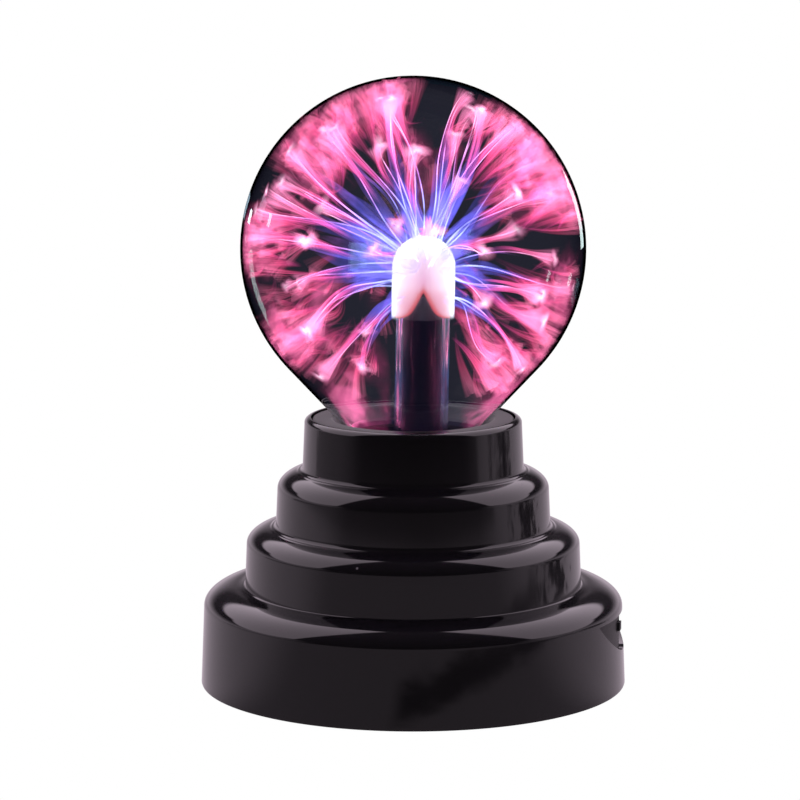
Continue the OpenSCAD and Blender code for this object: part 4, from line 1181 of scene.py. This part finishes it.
skin_outline = gas_wall(0.15 * MM) + gas_wall(0.30 * MM)[::-1]
skin_mesh = lathe_mesh("gas_skin", skin_outline, around=160, sharp=60)
haze = [patch_level((vertex.co - centre).normalized()) for vertex in skin_mesh.vertices]
layer = skin_mesh.attributes.new("haze", "FLOAT", "POINT")
layer.data.foreach_set("value", haze)
skin_mat, tree, shader = finish("gas_skin_light", (0, 0, 0), 1.0, Specular_IOR_Level=0.0,
                                Emission_Strength=8.0)
place = position(tree)
local = add(tree, "ShaderNodeMapping", {"Vector": place, "Location": tuple(-centre)}).outputs[0]
cloud = grain(tree, 62, 3.0, 0.55, local)
level = times(tree, remap(tree, cloud, 0.36, 0.62), attribute(tree, "haze"), clamp=True)
colour = ramp(tree, level, [(0.0, (0.004, 0.003, 0.009)), (0.4, (0.11, 0.012, 0.045)),
                            (1.0, (0.9, 0.14, 0.36))])
tree.links.new(colour, shader.inputs["Emission Color"])
shader.inputs["Alpha"].default_value = 0.07
skin = new_piece("gas_skin", skin_mesh, "base", "discharge", [], skin_mat)

# %% [markdown]
# ## The electrode's glow
# The domed end of the stem is covered in white-hot light. A glowing layer looks
# brightest at its outline, because there one looks along it. Fine fins of light that
# stand out from the axis give that from every side: seen from the front they are
# edge-on in the middle and stack up at the outline. Under the dome the glow parts at
# the front and the back, and the black pointed plug shows in the opening.

# %% Glow of the electrode
LEAN = math.tan(math.radians(1.05))
glow_low = liner_lo.z + 1.2 * MM


def lean(mesh):
    """Puts a mesh made round Z on the stem's leaning axis."""
    middle = stem_axis_x - LEAN * (liner_hi.z - liner_lo.z) / 2
    for vertex in mesh.vertices:
        vertex.co.x += middle + LEAN * (vertex.co.z - liner_lo.z)
    return mesh


def dome_outline(radius, low, steps=16):
    """Outline from a height up the side and over the dome to the axis."""
    turns = [math.pi / 2 * k / steps for k in range(steps)]
    return ([(radius, low + (dome_z - low) * k / steps) for k in range(steps)]
            + [(radius * math.cos(a), dome_z + radius * math.sin(a)) for a in turns]
            + [(0.0, dome_z + radius)])


def fin_ring(name, inner, outer, count, thickness, material, parted_to=None):
    """Radial fins of light between two outlines of the same length; they fade in at
    the outlines' start. Below the height parted_to they're dark at the front and the
    back."""
    points, faces, across, along, glow = [], [], [], [], []
    last = len(inner) - 1
    for k in range(count):
        a = 2 * math.pi * k / count
        out, side = Vector((math.cos(a), math.sin(a), 0)), Vector((-math.sin(a), math.cos(a), 0))
        base = len(points)
        for j, (p, q) in enumerate(zip(inner, outer)):
            near = out * p[0] + Vector((0, 0, p[1]))
            far = out * q[0] + Vector((0, 0, q[1]))
            middle = (near + far) / 2
            points += [near, middle + side * thickness, far, middle - side * thickness]
            level = min(1.0, j / 3)
            if parted_to:
                rise = max(0.0, min(1.0, (p[1] - inner[0][1]) / (parted_to - inner[0][1]))) ** 3
                level *= rise + (1 - rise) * abs(math.cos(a)) ** 4
            glow += [level] * 4
            across += [-1.0, 0.0, 1.0, 0.0]
            along += [j / last] * 4
            if j:
                for c in range(4):
                    d = (c + 1) % 4
                    faces.append((base + 4 * j - 4 + c, base + 4 * j - 4 + d,
                                  base + 4 * j + d, base + 4 * j + c))
        faces.append((base + 3, base + 2, base + 1, base))
        faces.append(tuple(base + 4 * last + c for c in range(4)))
    mesh = values_mesh(name, points, [], faces, {"across": across, "along": along, "glow": glow})
    mesh.shade_smooth()
    print(name, len(faces), "faces")
    return new_piece(name, lean(mesh), "base", "discharge", [], material)


glow_r = stem_r + 0.12 * MM
apex_z = tip_z + 1.4 * MM
body_outline = ([(0.0, glow_low), (glow_r - 0.2 * MM, glow_low)]
                + dome_outline(glow_r, glow_low + 0.2 * MM))
glow_mat, tree, shader = finish("electrode_light", (0, 0, 0), 1.0, Specular_IOR_Level=0.0,
                                Emission_Strength=1.45)
place = position(tree)
axes = add(tree, "ShaderNodeSeparateXYZ", {0: place}).outputs
height = axes["Z"]
foot_x = stem_axis_x - LEAN * (liner_lo.z + liner_hi.z) / 2
axis_x = calc(tree, "MULTIPLY_ADD", height, LEAN, foot_x)
off_axis = calc(tree, "ABSOLUTE", minus(tree, axes["X"], axis_x))
# The opening: straight sides down from its apex, which flare out at the foot
down = calc(tree, "DIVIDE", minus(tree, apex_z, height), apex_z - glow_low, clamp=True)
opening = plus(tree, times(tree, down, 3.3 * MM),
               times(tree, calc(tree, "POWER", down, 9.0), 3.4 * MM))
above = calc(tree, "MAXIMUM", minus(tree, height, apex_z), 0.0)
rim = plus(tree, minus(tree, off_axis, opening), above)
share = add(tree, "ShaderNodeMapRange", {"Value": height, "From Min": glow_low,
                                        "From Max": dome_z + glow_r}).outputs[0]
inside = ramp(tree, share, [(0.0, (0.85, 0.36, 0.50)), (0.35, (0.78, 0.30, 0.45)),
                            (0.55, (0.82, 0.42, 0.64)), (0.78, (0.9, 0.60, 0.84)),
                            (0.92, (1.0, 0.95, 1.0))])
edge = ramp(tree, calc(tree, "DIVIDE", rim, 2.0 * MM, clamp=True),
            [(0.0, (0.30, 0.03, 0.05)), (0.35, (0.66, 0.10, 0.13)), (1.0, (0.72, 0.26, 0.34))])
away = remap(tree, rim, 0.6 * MM, 3.0 * MM)
colour = blend(tree, away, edge, inside)
tree.links.new(colour, shader.inputs["Emission Color"])
tree.links.new(remap(tree, rim, 0.0, 0.35 * MM, 0.0, 0.96), shader.inputs["Alpha"])
glow_mesh = lean(lathe_mesh("electrode_glow", body_outline, around=96, sharp=60))
glow_body = new_piece("electrode_glow", glow_mesh, "base", "discharge",
                      ["electrode_liner"], glow_mat)

corona_mat = gas_light("corona_light", 2.4,
                       [(0.0, (1.0, 0.85, 0.95)), (0.5, (1.0, 0.92, 1.0)), (1.0, (0.75, 0.7, 1.0))],
                       blade_alpha(0.8, 0.14, low=0.8), by="across")
corona = fin_ring("corona_fins", dome_outline(stem_r + 0.14 * MM, glow_low),
                  dome_outline(stem_r + 1.1 * MM, glow_low - 0.3 * MM), 144, 0.015 * MM, corona_mat,
                  parted_to=apex_z + 1.5 * MM)

# %% Lines of light in the stem's wall, and the black plug with its sleeve
line_mat = gas_light("stem_wall_light", 2.0,
                     [(0.0, (0.55, 0.25, 0.6)), (0.5, (0.3, 0.4, 1.0)), (1.0, (0.6, 0.8, 1.0))],
                     blade_alpha(1.0, 0.06, low=0.5))
levels = [ring_lo.z + (glow_low - ring_lo.z) * k / 12 for k in range(13)]
wall_lines = fin_ring("stem_wall_light", [(stem_r - 0.75 * MM, z) for z in levels],
                      [(stem_r - 0.05 * MM, z) for z in levels], 110, 0.01 * MM, line_mat,
                      parted_to=math.inf)
plug_r = stem_r - 1.75 * MM
sleeve_low = stem_low + 2.0 * MM
shoulder_z = tip_z - 5.0 * MM
plug_outline = [(0.0, sleeve_low), (plug_r, sleeve_low)]
plug_outline += [(plug_r, sleeve_low + (shoulder_z - sleeve_low) * k / 10) for k in range(1, 11)]
plug_outline += [(plug_r * 0.5, shoulder_z + 2.25 * MM), (0.25 * MM, tip_z - 0.1 * MM), (0.0, tip_z)]
plug_mat, tree, shader = finish("core_plug_black", (0.01, 0.009, 0.014), 0.4)
tint(tree, shader, grain(tree, 130, 3.0), (0.003, 0.002, 0.006), (0.02, 0.012, 0.03))
relief(tree, shader, grain(tree, 700, 3.0), 0.00005)
new_piece("electrode_plug", lean(lathe_mesh("electrode_plug", plug_outline, around=64, sharp=30)),
          "base", "core_black", ["electrode_core"], plug_mat)
# The base doesn't mirror the globe's light: its reflections come from the tent alone
for item in (globe_piece, skin, streamers, blue_veils, pink_veils, brush_piece, glow_body, corona,
             feet, wall_lines):
    item.visible_glossy = False
lit_by_glints.objects.link(globe_piece)
# The tent lights the base and the nodes that show, but not the glass
for item in (upper_shell, lower_shell, ring):
    lit_by_tent.objects.link(item)
for name, item in nodes.items():
    if not item.hide_render and name not in ("stem_tube", "exhaust_tip"):
        lit_by_tent.objects.link(item)

# %% [markdown]
# ## The remaining nodes
# Every node that keeps its shape gets its own finish. Each is a short recipe: a
# colour that varies a little, a roughness, and a relief at the scale of the real
# surface.

# %% Finishes for nodes that keep their shape
RECIPES = {  # slot: dark and light colour, roughness, metallic, grain scale, relief
    "liner_metal": ((0.7, 0.7, 0.72), (0.9, 0.9, 0.92), 0.25, 1.0, 400, 0.00002),
    "core_black": ((0.008, 0.007, 0.01), (0.02, 0.018, 0.02), 0.5, 0.0, 800, 0.00005),
    "brass": ((0.6, 0.42, 0.16), (0.85, 0.66, 0.3), 0.3, 1.0, 300, 0.00002),
    "silicone_white": ((0.72, 0.71, 0.68), (0.85, 0.84, 0.82), 0.45, 0.0, 500, 0.00003),
    "black_rubber": ((0.018, 0.018, 0.019), (0.034, 0.033, 0.034), 0.75, 0.0, 1500, 0.00008),
    "panel_black": ((0.008, 0.008, 0.009), (0.016, 0.015, 0.017), 0.5, 0.0, 2200, 0.00005),
    "cover_black": ((0.018, 0.017, 0.02), (0.032, 0.03, 0.034), 0.55, 0.0, 2600, 0.00008),
    "screw_steel": ((0.5, 0.5, 0.5), (0.72, 0.72, 0.74), 0.3, 1.0, 700, 0.00003),
    "board_green": ((0.015, 0.10, 0.04), (0.03, 0.2, 0.08), 0.35, 0.0, 180, 0.00004),
    "ferrite": ((0.03, 0.03, 0.033), (0.07, 0.07, 0.075), 0.6, 0.0, 900, 0.00008),
    "bobbin_plastic": ((0.62, 0.58, 0.46), (0.8, 0.76, 0.64), 0.5, 0.0, 400, 0.00003),
    "copper": ((0.45, 0.17, 0.06), (0.8, 0.4, 0.18), 0.35, 0.8, 1200, 0.00010),
    "moulded_black": ((0.012, 0.012, 0.013), (0.026, 0.025, 0.027), 0.5, 0.0, 1500, 0.00005),
    "sink_aluminium": ((0.6, 0.6, 0.62), (0.8, 0.8, 0.82), 0.4, 1.0, 500, 0.00004),
    "film_yellow": ((0.6, 0.36, 0.06), (0.8, 0.52, 0.11), 0.3, 0.0, 300, 0.00005),
    "can_sleeve": ((0.012, 0.02, 0.09), (0.025, 0.036, 0.15), 0.3, 0.0, 300, 0.00003),
    "resistor_body": ((0.6, 0.46, 0.27), (0.76, 0.62, 0.4), 0.4, 0.0, 600, 0.00004),
    "plated_contact": ((0.6, 0.59, 0.55), (0.8, 0.79, 0.75), 0.25, 1.0, 600, 0.00002),
    "lead_red": ((0.42, 0.02, 0.02), (0.6, 0.04, 0.04), 0.4, 0.0, 500, 0.00002),
    "lead_grey": ((0.4, 0.4, 0.4), (0.55, 0.55, 0.55), 0.4, 0.0, 500, 0.00002),
    "knob_black": ((0.016, 0.016, 0.017), (0.035, 0.034, 0.037), 0.4, 0.0, 1800, 0.00005),
    "cell_jacket": ((0.05, 0.16, 0.09), (0.12, 0.32, 0.19), 0.3, 0.4, 200, 0.00002),
}
WIRE = 0.4 * MM  # width of one turn in the windings
TURNS_PER_UNIT = 20 / (2 * math.pi)  # bands of the wave pattern in a metre, at scale 1
GLEAM, DULL_GLEAM = 0.5, 0.25  # the sunk panel reflects less than the rest
finishes = {}
for slot_name, (dark, light, roughness, metal, scale, depth) in RECIPES.items():
    gleam = DULL_GLEAM if slot_name == "panel_black" else GLEAM
    material, tree, shader = finish("finish_" + slot_name, light, roughness, Metallic=metal,
                                    Specular_IOR_Level=gleam)
    tint(tree, shader, grain(tree, scale / 6, 3.0), dark, light)
    if slot_name == "copper":
        turns = add(tree, "ShaderNodeTexWave",
                    {"Vector": position(tree), "Scale": 1 / (TURNS_PER_UNIT * WIRE)},
                    bands_direction="X").outputs["Fac"]
        relief(tree, shader, turns, 0.4 * WIRE)
    else:
        relief(tree, shader, grain(tree, scale, 3.0), depth)
    finishes[slot_name] = material
for part in frame["record"]["subparts"]:
    material = finishes.get(part["material_slot"])
    if material:
        nodes[part["node"]].data.materials.clear()
        nodes[part["node"]].data.materials.append(material)
